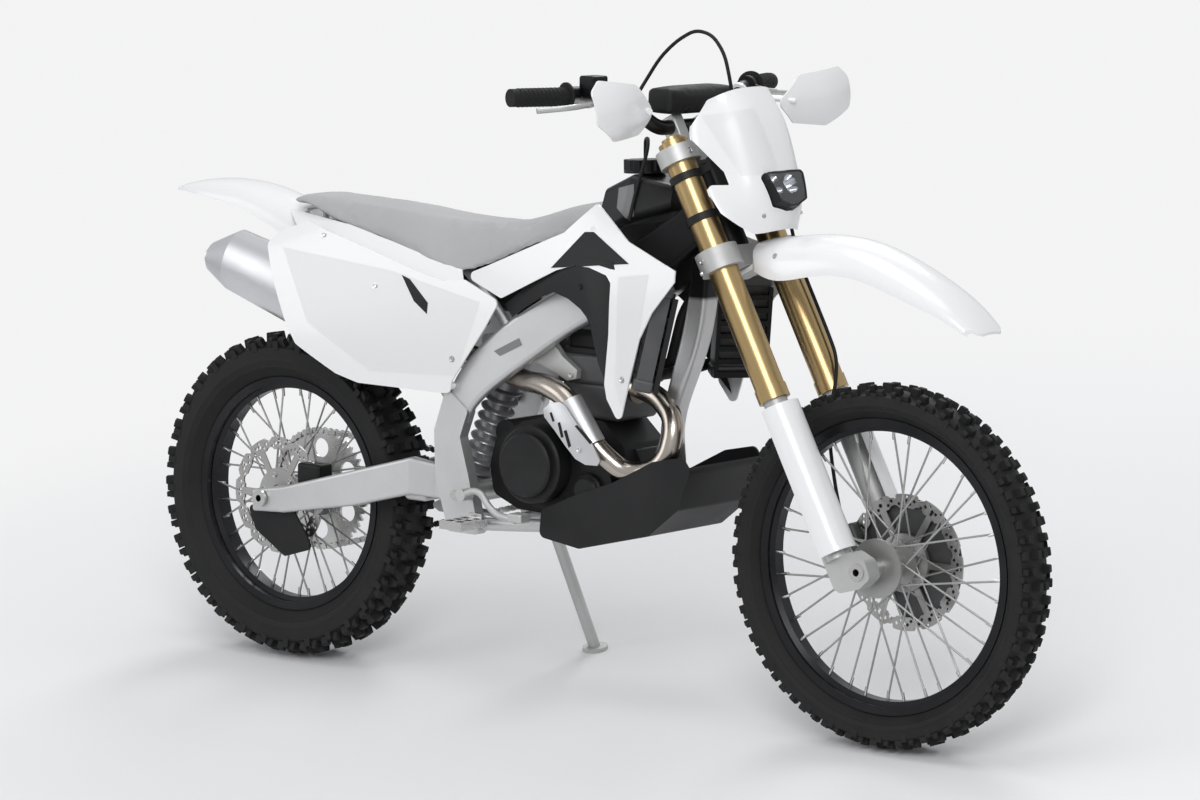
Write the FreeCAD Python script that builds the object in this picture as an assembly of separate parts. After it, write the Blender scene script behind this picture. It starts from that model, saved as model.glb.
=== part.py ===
import FreeCAD, Part
import math
import os

# Off-road motorcycle with a headlamp, parked on its side stand.
# Lengths are in millimetres. X runs forward, Y to the rider's left and Z up.
# Every part is modelled with the machine upright, the rear axle over X = 0 and
# the ground at Z = 0. The whole machine is leaned on to its stand at the end.

# Stance
wheelbase = 1480.0
rake = 28.0  # steering axis from the vertical, in degrees
lean = 10.5  # parked lean to the left, in degrees
fork_offset = 24.0  # fork legs ahead of the steering axis
axle_lead = 36.0  # front axle ahead of the fork legs
seat_gap = 0.3  # between curved faces of pieces that sit together

# Wheels
front_tyre_radius = 345.0
front_tyre_width = 90.0
front_flange_radius = 279.0
front_rim_width = 52.0
rear_tyre_radius = 334.0
rear_tyre_width = 114.0
rear_flange_radius = 241.0
rear_rim_width = 66.0
rim_wall = 3.5
rim_flange_height = 12.0
rim_well_depth = 9.0
front_lug_height = 14.0
rear_lug_height = 17.0
front_lug_pitches = 15
rear_lug_pitches = 14
front_lug_share = 0.28
rear_lug_share = 0.30
spoke_diameter = 4.0
spoke_count = 36
axle_diameter = 22.0
axle_bore = 14.0
hub_barrel_radius = 24.0
hub_flange_radius = 42.0
hub_flange_width = 6.0
front_hub_half_width = 34.0
rear_hub_half_width = 36.0
front_disc_radius = 130.0
rear_disc_radius = 120.0
disc_thickness = 3.5
disc_band = 26.0
disc_carrier_radius = 56.0
disc_waves = 12
front_disc_plane = 52.0
rear_disc_plane = -56.0

# Chain drive
chain_pitch = 15.875
rear_teeth = 48
front_teeth = 13
chain_plane = 73.0
chain_width = 16.0
chain_height = 14.0
sprocket_thickness = 6.0
front_sprocket_x = 592.0
front_sprocket_z = 402.0

# Fork and steering, measured along the steering axis from the front axle's level
leg_spacing = 190.0
fork_upper_diameter = 58.0
fork_lower_diameter = 47.0
fork_top = 893.0
fork_upper_bottom = 362.0
clamp_wall = 13.0
lower_clamp_level = 628.0
lower_clamp_height = 42.0
upper_clamp_level = 848.0
upper_clamp_height = 32.0
head_tube_diameter = 58.0
stem_diameter = 30.0
lug_inner = 70.0
lug_width = 36.0
breather_diameter = 7.0
brake_hose_diameter = 7.0
bar_level = 931.0
bar_set_forward = 8.0
bar_diameter = 28.6
bar_grip_diameter = 22.2
bar_half_width = 405.0
riser_spacing = 98.0
grip_diameter = 34.0
grip_length = 122.0

# Frame
spar_thickness = 30.0
pivot_x = 530.0
pivot_z = 396.0
pivot_tube_diameter = 42.0
pivot_axle_diameter = 20.0
arm_inner = 86.0
arm_thickness = 28.0
arm_front_thickness = 16.0
pivot_plate_gap = 1.5
pivot_plate_thickness = 26.0
panel_wall = 3.5
subframe_tube = 22.0
seat_foam = 44.0

# Shock
spring_radius = 30.0
spring_wire = 11.0
spring_turns = 9

# Exhaust
header_diameter = 42.0
muffler_width = 96.0
muffler_height = 154.0
muffler_end_height = 130.0
muffler_line = 113.0  # its middle plane, right of the machine's
tailpipe_bore = 36.0

# Side stand
stand_pivot_x = 548.0
stand_pivot_y = 148.0
stand_pivot_z = 322.0
stand_foot_x = 590.0
stand_foot_y = 252.0  # on the ground of the parked machine
stand_leg_diameter = 24.0
stand_foot_diameter = 52.0
stand_foot_thickness = 8.0

# Places that follow from the sizes above
rear_axle = FreeCAD.Vector(0.0, 0.0, rear_tyre_radius)
front_axle = FreeCAD.Vector(wheelbase, 0.0, front_tyre_radius)
rake_angle = math.radians(rake)
axis_up = FreeCAD.Vector(-math.sin(rake_angle), 0.0, math.cos(rake_angle))
axis_ahead = FreeCAD.Vector(math.cos(rake_angle), 0.0, math.sin(rake_angle))
axis_foot = front_axle - axis_ahead * (fork_offset + axle_lead)
SIDE = FreeCAD.Vector(0.0, 1.0, 0.0)
plate_inner = arm_inner + arm_front_thickness + pivot_plate_gap
plate_outer = plate_inner + pivot_plate_thickness


def vec(x, y, z):
    return FreeCAD.Vector(x, y, z)


def fork_point(ahead, y, up):
    """A place in the fork's own frame, in the frame of the machine."""
    return axis_foot + axis_ahead * ahead + axis_up * up + SIDE * y


def to_fork(shape):
    """Tilt a shape that was made about a vertical steering axis to the rake."""
    turned = shape.copy()
    turned.rotate(vec(0, 0, 0), SIDE, -rake)
    turned.translate(axis_foot)
    return turned


def mirrored(shape):
    """The same piece for the other side of the machine."""
    return shape.mirror(vec(0, 0, 0), SIDE)


def fuse(shapes):
    """One clean solid from shapes that overlap."""
    whole = shapes[0]
    for shape in shapes[1:]:
        whole = whole.fuse(shape)
    return whole.removeSplitter()


def corner_cut(before, corner, after, radius):
    """Where an arc starts, passes and ends on a corner."""
    back = before - corner
    ahead = after - corner
    half = back.getAngle(ahead) / 2.0
    reach = min(radius / math.tan(half), 0.45 * back.Length, 0.45 * ahead.Length)
    back.normalize()
    ahead.normalize()
    bisector = back + ahead
    bisector.normalize()
    depth = reach * math.tan(half) * (1.0 / math.sin(half) - 1.0)
    return corner + back * reach, corner + bisector * depth, corner + ahead * reach


def rounded_outline(corners, radius):
    """A closed wire of straight runs, each corner rounded by an arc."""
    count = len(corners)
    cuts = []
    for index in range(count):
        following = corners[(index + 1) % count]
        cuts.append(corner_cut(corners[index - 1], corners[index], following, radius))
    edges = []
    for index in range(count):
        start, middle, end = cuts[index]
        edges.append(Part.Arc(start, middle, end).toShape())
        edges.append(Part.LineSegment(end, cuts[(index + 1) % count][0]).toShape())
    return Part.Wire(edges)


def sharp_outline(corners):
    """A closed wire of straight runs."""
    return Part.makePolygon(corners + [corners[0]])


def bent_path(points, radius=None):
    """An open wire of straight runs joined by tangent arcs."""
    edges = []
    start = points[0]
    for index in range(1, len(points) - 1):
        before, corner, after = points[index - 1], points[index], points[index + 1]
        largest = radius
        if radius is None:
            largest = bend_radius(before, corner, after)
        first, middle, last = corner_cut(before, corner, after, largest)
        edges.append(Part.LineSegment(start, first).toShape())
        edges.append(Part.Arc(first, middle, last).toShape())
        start = last
    edges.append(Part.LineSegment(start, points[-1]).toShape())
    return Part.Wire(edges)


def bend_radius(before, corner, after):
    """The largest arc that two runs allow: 0.45 of the shorter run."""
    shorter = min((before - corner).Length, (after - corner).Length)
    half_turn = (math.pi - (before - corner).getAngle(after - corner)) / 2.0
    return 0.45 * shorter / math.tan(half_turn)


def tube(points, diameter, radius=None):
    """A round bar along straight runs and arcs."""
    path = bent_path(points, radius)
    start = points[0]
    circle = Part.makeCircle(diameter / 2.0, start, points[1] - start)
    return path.makePipeShell([Part.Wire(circle)], True, True)


def rod(start, end, diameter):
    """A straight round bar."""
    along = end - start
    return Part.makeCylinder(diameter / 2.0, along.Length, start, along)


def ring(centre, axis, outer, inner, width):
    """A flat ring that starts at its centre point and runs along its axis."""
    disc = Part.makeCylinder(outer, width, centre, axis)
    return disc.cut(Part.makeCylinder(inner, width + 2.0, centre - axis, axis))


def side_plate(outline, y_from, y_to, radius=0.0):
    """A plate whose outline is seen from the side, as X and Z pairs."""
    corners = [vec(x, y_from, z) for x, z in outline]
    wire = rounded_outline(corners, radius) if radius > 0 else sharp_outline(corners)
    return Part.Face(wire).extrude(SIDE * (y_to - y_from))


def spun(profile, centre):
    """Turn a closed profile of Y and radius pairs about a line along Y."""
    corners = [centre + vec(0, y, radius) for y, radius in profile]
    return Part.Face(sharp_outline(corners)).revolve(centre, SIDE, 360)


def block(x, y, z):
    """A box between the given pairs of limits."""
    return Part.makeBox(x[1] - x[0], y[1] - y[0], z[1] - z[0], vec(x[0], y[0], z[0]))


def rounded_block(x, y, z, radius):
    """A box with all its edges rounded."""
    box = block(x, y, z)
    return box.makeFillet(radius, box.Edges)


def beam(stations, corner, ruled=False):
    """A rounded bar through stations of top X, top Z, low X, low Z, Y and width."""
    wires = []
    for top_x, top_z, low_x, low_z, y, width in stations:
        half = width / 2.0
        corners = [vec(top_x, y - half, top_z), vec(top_x, y + half, top_z),
                   vec(low_x, y + half, low_z), vec(low_x, y - half, low_z)]
        wires.append(rounded_outline(corners, corner))
    return Part.makeLoft(wires, True, ruled)


def sheet(rows, thickness):
    """A smooth sheet through rows of points, made as thick as given."""
    surface = Part.BSplineSurface()
    surface.interpolate(rows)
    return surface.toShape().makeOffsetShape(thickness, 0.01, fill=True)


def arched_rows(stations, share=0.82, rise=0.36):
    """Rows for an arched guard from stations of X, Z, half width and side drop."""
    rows = []
    for x, z, half, drop in stations:
        rows.append([vec(x, -half, z - drop), vec(x, -half * share, z - drop * rise),
                     vec(x, 0, z),
                     vec(x, half * share, z - drop * rise), vec(x, half, z - drop)])
    return rows


# Wheels


def tyre_section(radius, width, flange_radius, rim_width, lug_height):
    """Half a tyre's section from crown to bead: Y and radius low, then out at the lug tips."""
    half = width / 2.0
    height = radius - flange_radius
    bead = rim_width / 2.0 - rim_wall - seat_gap
    seat = flange_radius - rim_flange_height + seat_gap
    low = [(half * 0.20, radius - lug_height),
           (half * 0.54, radius - height * 0.035 - lug_height),
           (half * 0.86, radius - height * 0.14 - lug_height * 0.8),
           (half * 0.96, radius - height * 0.33), (half * 0.95, flange_radius + height * 0.42),
           (bead, flange_radius + 1.0), (bead, seat)]
    tips = [(half * 0.20, radius), (half * 0.56, radius - height * 0.035),
            (half * 0.93, radius - height * 0.13), (half, radius - height * 0.31)]
    return low, tips


def lugged_tyre(centre, section, pitches, lug_share):
    """A tyre as flat facets: rows of lugs stand out of its carcass, with gaps between."""
    low, tips = section
    count = len(low)
    low = [(-y, r) for y, r in reversed(low)] + low
    high = low[:]
    for index, (y, r) in enumerate(tips):
        high[count + index] = (y, r)
        high[count - 1 - index] = (-y, r)
    crown = count - 1
    raised = {"edge": (crown, crown + 2, crown + 3, crown - 2, crown - 3),
              "middle": (crown + 1, crown - 1), "gap": ()}
    pitch = 2.0 * math.pi / pitches
    half_lug = pitch * lug_share / 2.0
    grow = 1.0 / math.cos(half_lug)
    turns = []
    for index in range(pitches):
        start = -math.pi / 2.0 + index * pitch
        turns += [(start - half_lug, "edge"), (start + half_lug, "gap"),
                  (start + pitch / 2.0 - half_lug, "middle"),
                  (start + pitch / 2.0 + half_lug, "gap")]

    def place(index, turn, up):
        y, r = (high if up else low)[index % (2 * count)]
        return centre + vec(r * grow * math.cos(turn), y, r * grow * math.sin(turn))

    def facet(corners):
        return Part.Face(Part.makePolygon(corners + corners[:1]))

    facets = []
    for index, (turn, kind) in enumerate(turns):
        after, next_kind = turns[(index + 1) % len(turns)]
        for band in range(2 * count):
            up = band in raised[kind]
            facets.append(facet([place(band, turn, up), place(band + 1, turn, up),
                                 place(band + 1, after, up), place(band, after, up)]))
            if up != (band in raised[next_kind]):
                facets.append(facet([place(band, after, False), place(band + 1, after, False),
                                     place(band + 1, after, True), place(band, after, True)]))
            if up != ((band - 1) in raised[kind]):
                facets.append(facet([place(band, turn, False), place(band, turn, True),
                                     place(band, after, True), place(band, after, False)]))
    shell = Part.makeShell(facets)
    shell.sewShape()
    body = Part.makeSolid(shell)
    return body if body.Volume > 0 else body.reversed()


def rim(centre, flange_radius, rim_width):
    """A drop-centre rim with a flange each side."""
    half = rim_width / 2.0
    seat = flange_radius - rim_flange_height
    well = seat - rim_well_depth
    side = [(10.0, well), (16.0, seat), (half - rim_wall, seat),
            (half - rim_wall, flange_radius), (half, flange_radius),
            (half, seat - rim_wall), (18.0, seat - rim_wall), (12.0, well - rim_wall)]
    other = [(-y, r) for y, r in reversed(side)]
    return spun(side + other, centre)


def hub(centre, half_width, disc_plane, other_plane):
    """A spool with spoke flanges, reaching out to the disc and the far carrier."""
    bore = axle_diameter / 2.0 + seat_gap
    low, high = sorted((disc_plane, other_plane))
    flange = half_width - hub_flange_width
    profile = [(low, bore), (low, disc_carrier_radius), (low + 7.0, disc_carrier_radius),
               (-half_width - 3.0, hub_barrel_radius + 8.0), (-half_width, hub_flange_radius),
               (-flange, hub_flange_radius), (-flange + 4.0, hub_barrel_radius),
               (flange - 4.0, hub_barrel_radius), (flange, hub_flange_radius),
               (half_width, hub_flange_radius), (half_width + 3.0, hub_barrel_radius + 8.0),
               (high - 7.0, disc_carrier_radius), (high, disc_carrier_radius), (high, bore)]
    return spun(profile, centre)


def spokes(centre, half_width, flange_radius):
    """Crossed spokes from both hub flanges to the rim, as one wire wheel."""
    rim_reach = flange_radius - rim_flange_height - rim_well_depth - rim_wall - 1.0
    hub_reach = hub_flange_radius - 3.0
    lead = math.radians(52.0)
    step = 2.0 * math.pi / spoke_count
    bars = []
    for index in range(spoke_count):
        side = 1 if index % 2 else -1
        turn = 1 if (index // 2) % 2 else -1
        outer = index * step
        inner = outer + turn * lead
        foot = centre + vec(hub_reach * math.cos(inner), side * (half_width - 3.0),
                            hub_reach * math.sin(inner))
        tip = centre + vec(rim_reach * math.cos(outer), side * 5.0,
                           rim_reach * math.sin(outer))
        bars.append(rod(foot, tip, spoke_diameter))
    return bars


def disc_rotor(centre, plane, outward, radius):
    """A wave-edged brake disc on a spider, drilled round its band."""
    inner = radius - disc_band
    start = centre + vec(0, plane, 0)
    along = SIDE * outward
    plate = ring(start, along, radius, inner, disc_thickness)
    spider = ring(start, along, disc_carrier_radius - 2.0, axle_diameter, disc_thickness)
    arms = []
    for index in range(disc_waves // 2):
        angle = 360.0 / (disc_waves // 2) * index
        arm = block((disc_carrier_radius - 8.0, inner + 4.0), (0.0, disc_thickness), (-7.0, 7.0))
        arm.rotate(vec(0, 0, 0), SIDE, angle)
        arm.translate(start if outward > 0 else start - SIDE * disc_thickness)
        arms.append(arm)
    rotor = fuse([plate, spider] + arms)
    cuts = []
    for index in range(disc_waves):
        wave = math.radians(360.0 / disc_waves * (index + 0.5))
        for reach, size in ((radius + 7.0, 13.0), (inner - 7.0, 13.0)):
            place = start + vec(reach * math.cos(wave), 0, reach * math.sin(wave)) - along
            cuts.append(Part.makeCylinder(size, disc_thickness + 2.0, place, along))
        hole = math.radians(360.0 / disc_waves * index)
        place = start - along + vec((radius - disc_band / 2.0) * math.cos(hole), 0,
                                    (radius - disc_band / 2.0) * math.sin(hole))
        cuts.append(Part.makeCylinder(4.0, disc_thickness + 2.0, place, along))
    return rotor.cut(Part.makeCompound(cuts))


def front_tyre():
    section = tyre_section(front_tyre_radius, front_tyre_width, front_flange_radius,
                           front_rim_width, front_lug_height)
    return lugged_tyre(front_axle, section, front_lug_pitches, front_lug_share)


def front_rim():
    return rim(front_axle, front_flange_radius, front_rim_width)


def front_spokes():
    return spokes(front_axle, front_hub_half_width, front_flange_radius)


def front_hub():
    return hub(front_axle, front_hub_half_width, front_disc_plane, -front_disc_plane + 8.0)


def front_wheel_centre():
    """The front hub with its spokes, which end just short of the rim."""
    return front_hub().multiFuse(front_spokes())


def front_disc():
    return disc_rotor(front_axle, front_disc_plane, 1, front_disc_radius)


def rear_tyre():
    section = tyre_section(rear_tyre_radius, rear_tyre_width, rear_flange_radius,
                           rear_rim_width, rear_lug_height)
    return lugged_tyre(rear_axle, section, rear_lug_pitches, rear_lug_share)


def rear_rim():
    return rim(rear_axle, rear_flange_radius, rear_rim_width)


def rear_spokes():
    return spokes(rear_axle, rear_hub_half_width, rear_flange_radius)


def rear_hub():
    return hub(rear_axle, rear_hub_half_width, rear_disc_plane,
               chain_plane - sprocket_thickness / 2.0)


def rear_wheel_centre():
    """The rear hub with its spokes."""
    return rear_hub().multiFuse(rear_spokes())


def rear_disc():
    return disc_rotor(rear_axle, rear_disc_plane, -1, rear_disc_radius)


# Chain drive


def pitch_radius(teeth):
    return chain_pitch / (2.0 * math.sin(math.pi / teeth))


def sprocket(centre, teeth, thickness, bore):
    """A toothed wheel whose tooth tips stand out past the pitch circle."""
    root = pitch_radius(teeth) - 5.0
    tip = pitch_radius(teeth) + 4.5
    corners = []
    for index in range(teeth):
        for share, radius in ((0.12, root), (0.40, tip), (0.60, tip), (0.88, root)):
            angle = 2.0 * math.pi * (index + share) / teeth
            corners.append(centre + vec(radius * math.cos(angle), -thickness / 2.0,
                                        radius * math.sin(angle)))
    wheel = Part.Face(sharp_outline(corners)).extrude(SIDE * thickness)
    hole = Part.makeCylinder(bore, thickness + 4.0, centre - SIDE * (thickness / 2.0 + 2.0), SIDE)
    return wheel.cut(hole)


def rear_sprocket():
    """The driven sprocket, lightened by slots between its spokes."""
    centre = rear_axle + SIDE * chain_plane
    wheel = sprocket(centre, rear_teeth, sprocket_thickness, axle_diameter)
    windows = []
    for index in range(6):
        angle = math.radians(60.0 * index + 30.0)
        place = centre + vec(85.0 * math.cos(angle), -10.0, 85.0 * math.sin(angle))
        windows.append(Part.makeCylinder(20.0, 20.0, place, SIDE))
    return wheel.cut(Part.makeCompound(windows))


def front_sprocket():
    centre = vec(front_sprocket_x, chain_plane, front_sprocket_z)
    return sprocket(centre, front_teeth, sprocket_thickness, 8.0)


def chain_outline(offset):
    """The closed line of the chain round both sprockets, one run a link, moved out by an offset."""
    rear_radius = pitch_radius(rear_teeth) + offset
    front_radius = pitch_radius(front_teeth) + offset
    plane = SIDE * (chain_plane - chain_width / 2.0)
    front = vec(front_sprocket_x, 0, front_sprocket_z) + plane
    rear = rear_axle + plane
    run = front - rear
    slope = math.atan2(run.z, run.x)
    spread = math.acos((rear_radius - front_radius) / run.Length)
    corners = []
    for centre, radius, start, wrap, teeth in (
            (front, front_radius, slope + spread, 2.0 * spread, front_teeth),
            (rear, rear_radius, slope - spread, 2.0 * (math.pi - spread), rear_teeth)):
        links = round(wrap * teeth / (2.0 * math.pi))
        half = wrap / links / 2.0
        for index in range(links):
            angle = start - half * (2 * index + 1)
            reach = radius / math.cos(half)
            corners.append(centre + vec(reach * math.cos(angle), 0, reach * math.sin(angle)))
    return sharp_outline(corners)


def chain():
    """The chain as a loop that clears the tooth tips on both sides of them."""
    half = chain_height / 2.0
    loop = Part.Face(chain_outline(half)).extrude(SIDE * chain_width)
    hollow = Part.Face(chain_outline(-half)).extrude(SIDE * chain_width)
    band = loop.cut(hollow)
    groove = (sprocket_thickness + 3.0) / 2.0
    middle = Part.Face(chain_outline(half - 1.8)).extrude(SIDE * (2.0 * groove))
    middle.translate(SIDE * (chain_width / 2.0 - groove))
    return band.cut(middle)


# Frame


def frame_main():
    """Twin spars from the steering head to the pivot plates, with a front downtube."""
    head_low = fork_point(0, 0, lower_clamp_level + lower_clamp_height + 4.0)
    head_high = fork_point(0, 0, upper_clamp_level - 4.0)
    head = rod(head_low, head_high, head_tube_diameter)
    y = (plate_inner + plate_outer) / 2.0
    wide = pivot_plate_thickness
    spar = beam([(1040, 1008, 1083, 948, 22, 34), (960, 948, 1010, 880, 46, 34),
                 (850, 872, 905, 800, 78, 32), (739, 806, 799, 740, 96, spar_thickness),
                 (614, 724, 672, 655, 106, spar_thickness),
                 (512, 612, 566, 570, y - 2, wide - 4), (490, 560, 552, 540, y - 2, wide - 6)],
                9.0)
    plate = side_plate([(504, 607), (474, 520), (478, 430), (512, 322), (592, 322), (562, 440),
                        (540, 512), (560, 566)], plate_inner, plate_outer, 9.0)
    down = beam([(1030, 968, 1076, 950, 0, 50), (1022, 880, 1062, 872, 0, 50),
                 (1012, 800, 1054, 786, 0, 48), (972, 650, 1008, 640, 0, 46),
                 (950, 540, 986, 528, 0, 42)], 9.0)
    cradle = tube([vec(968, 16, 545), vec(955, 44, 452), vec(900, 72, 368),
                   vec(720, 90, 350), vec(556, y - 4, 340)], 26.0)
    cross = rod(vec(556, -y, 332), vec(556, y, 332), 24.0)
    upper = rod(vec(584, -100, 704), vec(584, 100, 704), 28.0)
    tabs = [side_plate([(560, 648), (594, 650), (598, 704), (570, 704)], side * 17.3,
                       side * 25.0, 5.0) for side in (-1, 1)]
    whole = fuse([head, spar, mirrored(spar), plate, mirrored(plate), down, cradle,
                  mirrored(cradle), cross, upper, stand_bracket()] + tabs)
    bore = rod(fork_point(0, 0, 0), fork_point(0, 0, fork_top), stem_diameter + 2 * seat_gap)
    pivot = Part.makeCylinder(pivot_axle_diameter / 2.0, 400, vec(pivot_x, -200, pivot_z), SIDE)
    return whole.cut(bore).cut(pivot)


def subframe():
    """Seat rails and their lower struts, bolted to the spars."""
    rail = tube([vec(636, 76, 708), vec(560, 72, 792), vec(470, 62, 860), vec(250, 58, 880),
                 vec(28, 48, 889)], subframe_tube)
    strut = tube([vec(489, 84, 566), vec(400, 62, 644), vec(110, 52, 882)], subframe_tube)
    high_boss = rod(vec(633, 76, 711), vec(633, 88.0, 711), 20.0)
    low_boss = rod(vec(492, 84, 566), vec(492, plate_inner - seat_gap, 566), 20.0)
    bridge = rod(vec(52, -50, 887), vec(52, 50, 887), subframe_tube)
    seat_boss = rod(vec(462, 60, 859), vec(462, 81.9, 859), 14.0)
    side = [rail, strut, high_boss, low_boss, seat_boss]
    return fuse(side + [mirrored(piece) for piece in side] + [bridge])


def swingarm():
    """Tapered arms, a cross member ahead of the tyre and the pivot tube."""
    mid = arm_inner + arm_thickness / 2.0
    arm = beam([(-24, 350, -24, 304, mid, arm_thickness - 4.0),
                (60, 364, 60, 309, mid, arm_thickness), (250, 416, 250, 343, mid, arm_thickness),
                (396, 456, 396, 381, mid, arm_thickness),
                (456, 448, 456, 378, arm_inner + arm_front_thickness / 2.0, arm_front_thickness),
                (545, 424, 545, 368, arm_inner + arm_front_thickness / 2.0,
                 arm_front_thickness)], 7.0, True)
    bridge = rounded_block((364, 420), (-arm_inner - 6, arm_inner + 6), (366, 424), 9.0)
    sleeve = rod(vec(pivot_x, -arm_inner - 6, pivot_z), vec(pivot_x, arm_inner + 6, pivot_z),
                 pivot_tube_diameter)
    whole = fuse([arm, mirrored(arm), bridge, sleeve])
    pivot = Part.makeCylinder(pivot_axle_diameter / 2.0, 400, vec(pivot_x, -200, pivot_z), SIDE)
    axle_hole = Part.makeCylinder(axle_diameter / 2.0, 400, vec(0, -200, rear_axle.z), SIDE)
    return whole.cut(pivot).cut(axle_hole)


def axle(centre, reach):
    """A hollow through-axle with a flange nut at each end."""
    bar = Part.makeCylinder(axle_diameter / 2.0 - 0.05, 2 * reach, centre - SIDE * reach, SIDE)
    nut = Part.makeCylinder(axle_diameter / 2.0 + 6, 7, centre + SIDE * (reach - 7), SIDE)
    head = Part.makeCylinder(axle_diameter / 2.0 + 6, 7, centre - SIDE * reach, SIDE)
    hole = Part.makeCylinder(axle_bore / 2.0, 2 * reach + 2, centre - SIDE * (reach + 1), SIDE)
    return fuse([bar, nut, head]).cut(hole)


def chassis_axles():
    """The hollow rear axle, and the pivot bolt through spars and swingarm."""
    rear = axle(rear_axle, arm_inner + arm_thickness + 8.0)
    reach = plate_outer + 4.0
    centre = vec(pivot_x, 0, pivot_z)
    bolt = rod(centre - SIDE * reach, centre + SIDE * reach, pivot_axle_diameter - 0.1)
    return Part.makeCompound([rear, bolt])


# Engine and intake


def engine_cases():
    """The crankcase with the gearbox behind it and a sump below."""
    core = side_plate([(566, 452), (576, 398), (640, 372), (800, 368), (892, 402), (918, 452),
                       (900, 520), (848, 566), (735, 566), (650, 548), (580, 505)],
                      -66, 66, 22.0)
    boss = rod(vec(600, -60, 520), vec(600, 60, 520), 50.0)
    nose = side_plate([(870, 430), (918, 436), (930, 470), (905, 515), (860, 500)], -36, 36, 8.0)
    whole = fuse([core, boss, nose]).cut(block((520, 650), (60, 80), (340, 540)))
    shaft = vec(front_sprocket_x, 66.0, front_sprocket_z)
    return fuse([whole, rod(shaft - SIDE * 6, shaft + SIDE * (chain_plane - 66.0), 15.4)])


def stepped_cover(centre, radius, side, depths):
    """A round cover that steps in with each depth, its rims broken by a chamfer."""
    profile = [(0.0, 0.0), (0.0, radius)]
    reach = 0.0
    size = radius
    for depth in depths:
        reach += depth
        profile += [(side * (reach - 4.0), size), (side * reach, size - 4.0)]
        size = size * 0.82
        profile.append((side * reach, size))
    profile[-1] = (side * reach, 0.0)
    return spun(profile, centre)


def clutch_cover():
    """The round clutch cover and the pump, on the flat right side cover."""
    base = side_plate([(640, 420), (700, 386), (800, 382), (868, 404), (892, 450), (872, 515),
                       (800, 556), (700, 560), (642, 520)], -92, -66, 20.0)
    lid = stepped_cover(vec(716, -92, 474), 76.0, -1, (40.0, 14.0))
    pump = stepped_cover(vec(838, -92, 432), 34.0, -1, (13.0, 6.0))
    return fuse([base, lid, pump])


def ignition_cover():
    """Left cover over the generator."""
    base = side_plate([(652, 420), (700, 386), (800, 382), (868, 404), (890, 450), (870, 515),
                       (800, 554), (700, 556), (655, 520)], 66.3, 82, 20.0)
    lid = stepped_cover(vec(776, 82, 466), 64.0, 1, (20.0, 8.0))
    return fuse([base, lid])


port_face = vec(908, -34, 634)
port_direction = vec(0.968, -0.138, -0.207)
intake_face = vec(722, 0, 676)
intake_direction = vec(-0.919, 0, 0.394)


def cylinder():
    """The upright cylinder with its water jacket and head, leaning a little forward."""
    barrel = rounded_block((742, 884), (-66, 66), (566, 640), 12.0)
    head = rounded_block((736, 896), (-72, 72), (634, 694), 10.0)
    port = rod(port_face - port_direction * 30, port_face, 54.0)
    intake = rod(intake_face + intake_direction * -28, intake_face, 50.0)
    flat = block((700, 950), (-100, 100), (540, 566))
    return fuse([barrel, head, port, intake]).cut(flat)


def head_cover():
    """The cam cover on top of the head."""
    lid = rounded_block((752, 880), (-62, 62), (694.0, 740), 14.0)
    foot = block((752, 888), (-68, 68), (694.0, 704))
    plug = rod(vec(816, 0, 738), vec(816, 0, 752), 26.0)
    return fuse([lid, foot, plug]).cut(block((700, 950), (-100, 100), (660, 694.0)))


def throttle_body():
    """Throttle body and the rubber boot that leads to the airbox."""
    start = intake_face + intake_direction * seat_gap
    end = intake_face + intake_direction * 44.0
    body = rod(start, end, 56.0)
    boot = tube([end - intake_direction * 4, vec(644, 0, 724), vec(600, 0, 780),
                 vec(472.3, 0, 780)], 56.0)
    wheel = rod(vec(700, 22, 686), vec(700, 44, 686), 40.0)
    return fuse([body, boot, wheel])


def airbox():
    """The filter housing between the seat rails."""
    box = side_plate([(472, 716), (472, 858), (230, 872), (182, 872), (236, 780), (330, 700),
                      (420, 690)], -45, 45, 16.0)
    return box


def coolant_hoses():
    """The crossover behind the downtube and the hose from the head to the left radiator."""
    feet = [radiator_point(-19.3, -36, -92, side) for side in (-1, 1)]
    backs = [radiator_point(-46.0, -36, -92, side) for side in (-1, 1)]
    cross = tube([feet[0], backs[0], vec(944, -66, 660), vec(944, 66, 660), backs[1], feet[1]],
                 22.0)
    top = tube([vec(896.3, 44, 672), vec(926, 44, 672), vec(930, 84, 790),
                radiator_point(-46.0, -36, 90, 1), radiator_point(-19.3, -36, 90, 1)], 22.0)
    return Part.makeCompound([cross, top])


def radiator_point(x, y, z, side):
    """A point of the radiator's own frame, in the frame of the machine."""
    place = radiator_frame(Part.Vertex(x, y, z), side).Point
    return vec(place.x, place.y, place.z)


# Exhaust


def header_points():
    return [port_face + port_direction * seat_gap, port_face + port_direction * 60,
            vec(1026, -66, 580), vec(1016, -84, 496), vec(932, -92, 468), vec(872, -120, 522),
            vec(806, -119, 610), vec(735, -106, 632), vec(664, -78, 628), vec(585, -62, 648),
            vec(500, -76, 674), vec(400, -105, 690), vec(330, -muffler_line, 700),
            vec(272.3, -muffler_line, 716)]


def exhaust_header():
    """The header: forward out of the port, round a low loop and back along the engine."""
    pipe = tube(header_points(), header_diameter)
    collar = rod(port_face + port_direction * seat_gap, port_face + port_direction * 9, 60.0)
    return fuse([pipe, collar])


def exhaust_shield():
    """A perforated guard over the outer side of the header's rising run."""
    run = header_points()[5:7]
    along = run[1] - run[0]
    start = run[0] + along * 0.02
    end = run[0] + along * 0.94
    outer = rod(start, end, header_diameter + 16.0)
    inner = rod(start - along * 0.1, end + along * 0.1, header_diameter + 10.0)
    shell = outer.cut(inner)
    keep = block((700, 1000), (-200, -118), (450, 700))
    return shell.common(keep)


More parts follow.
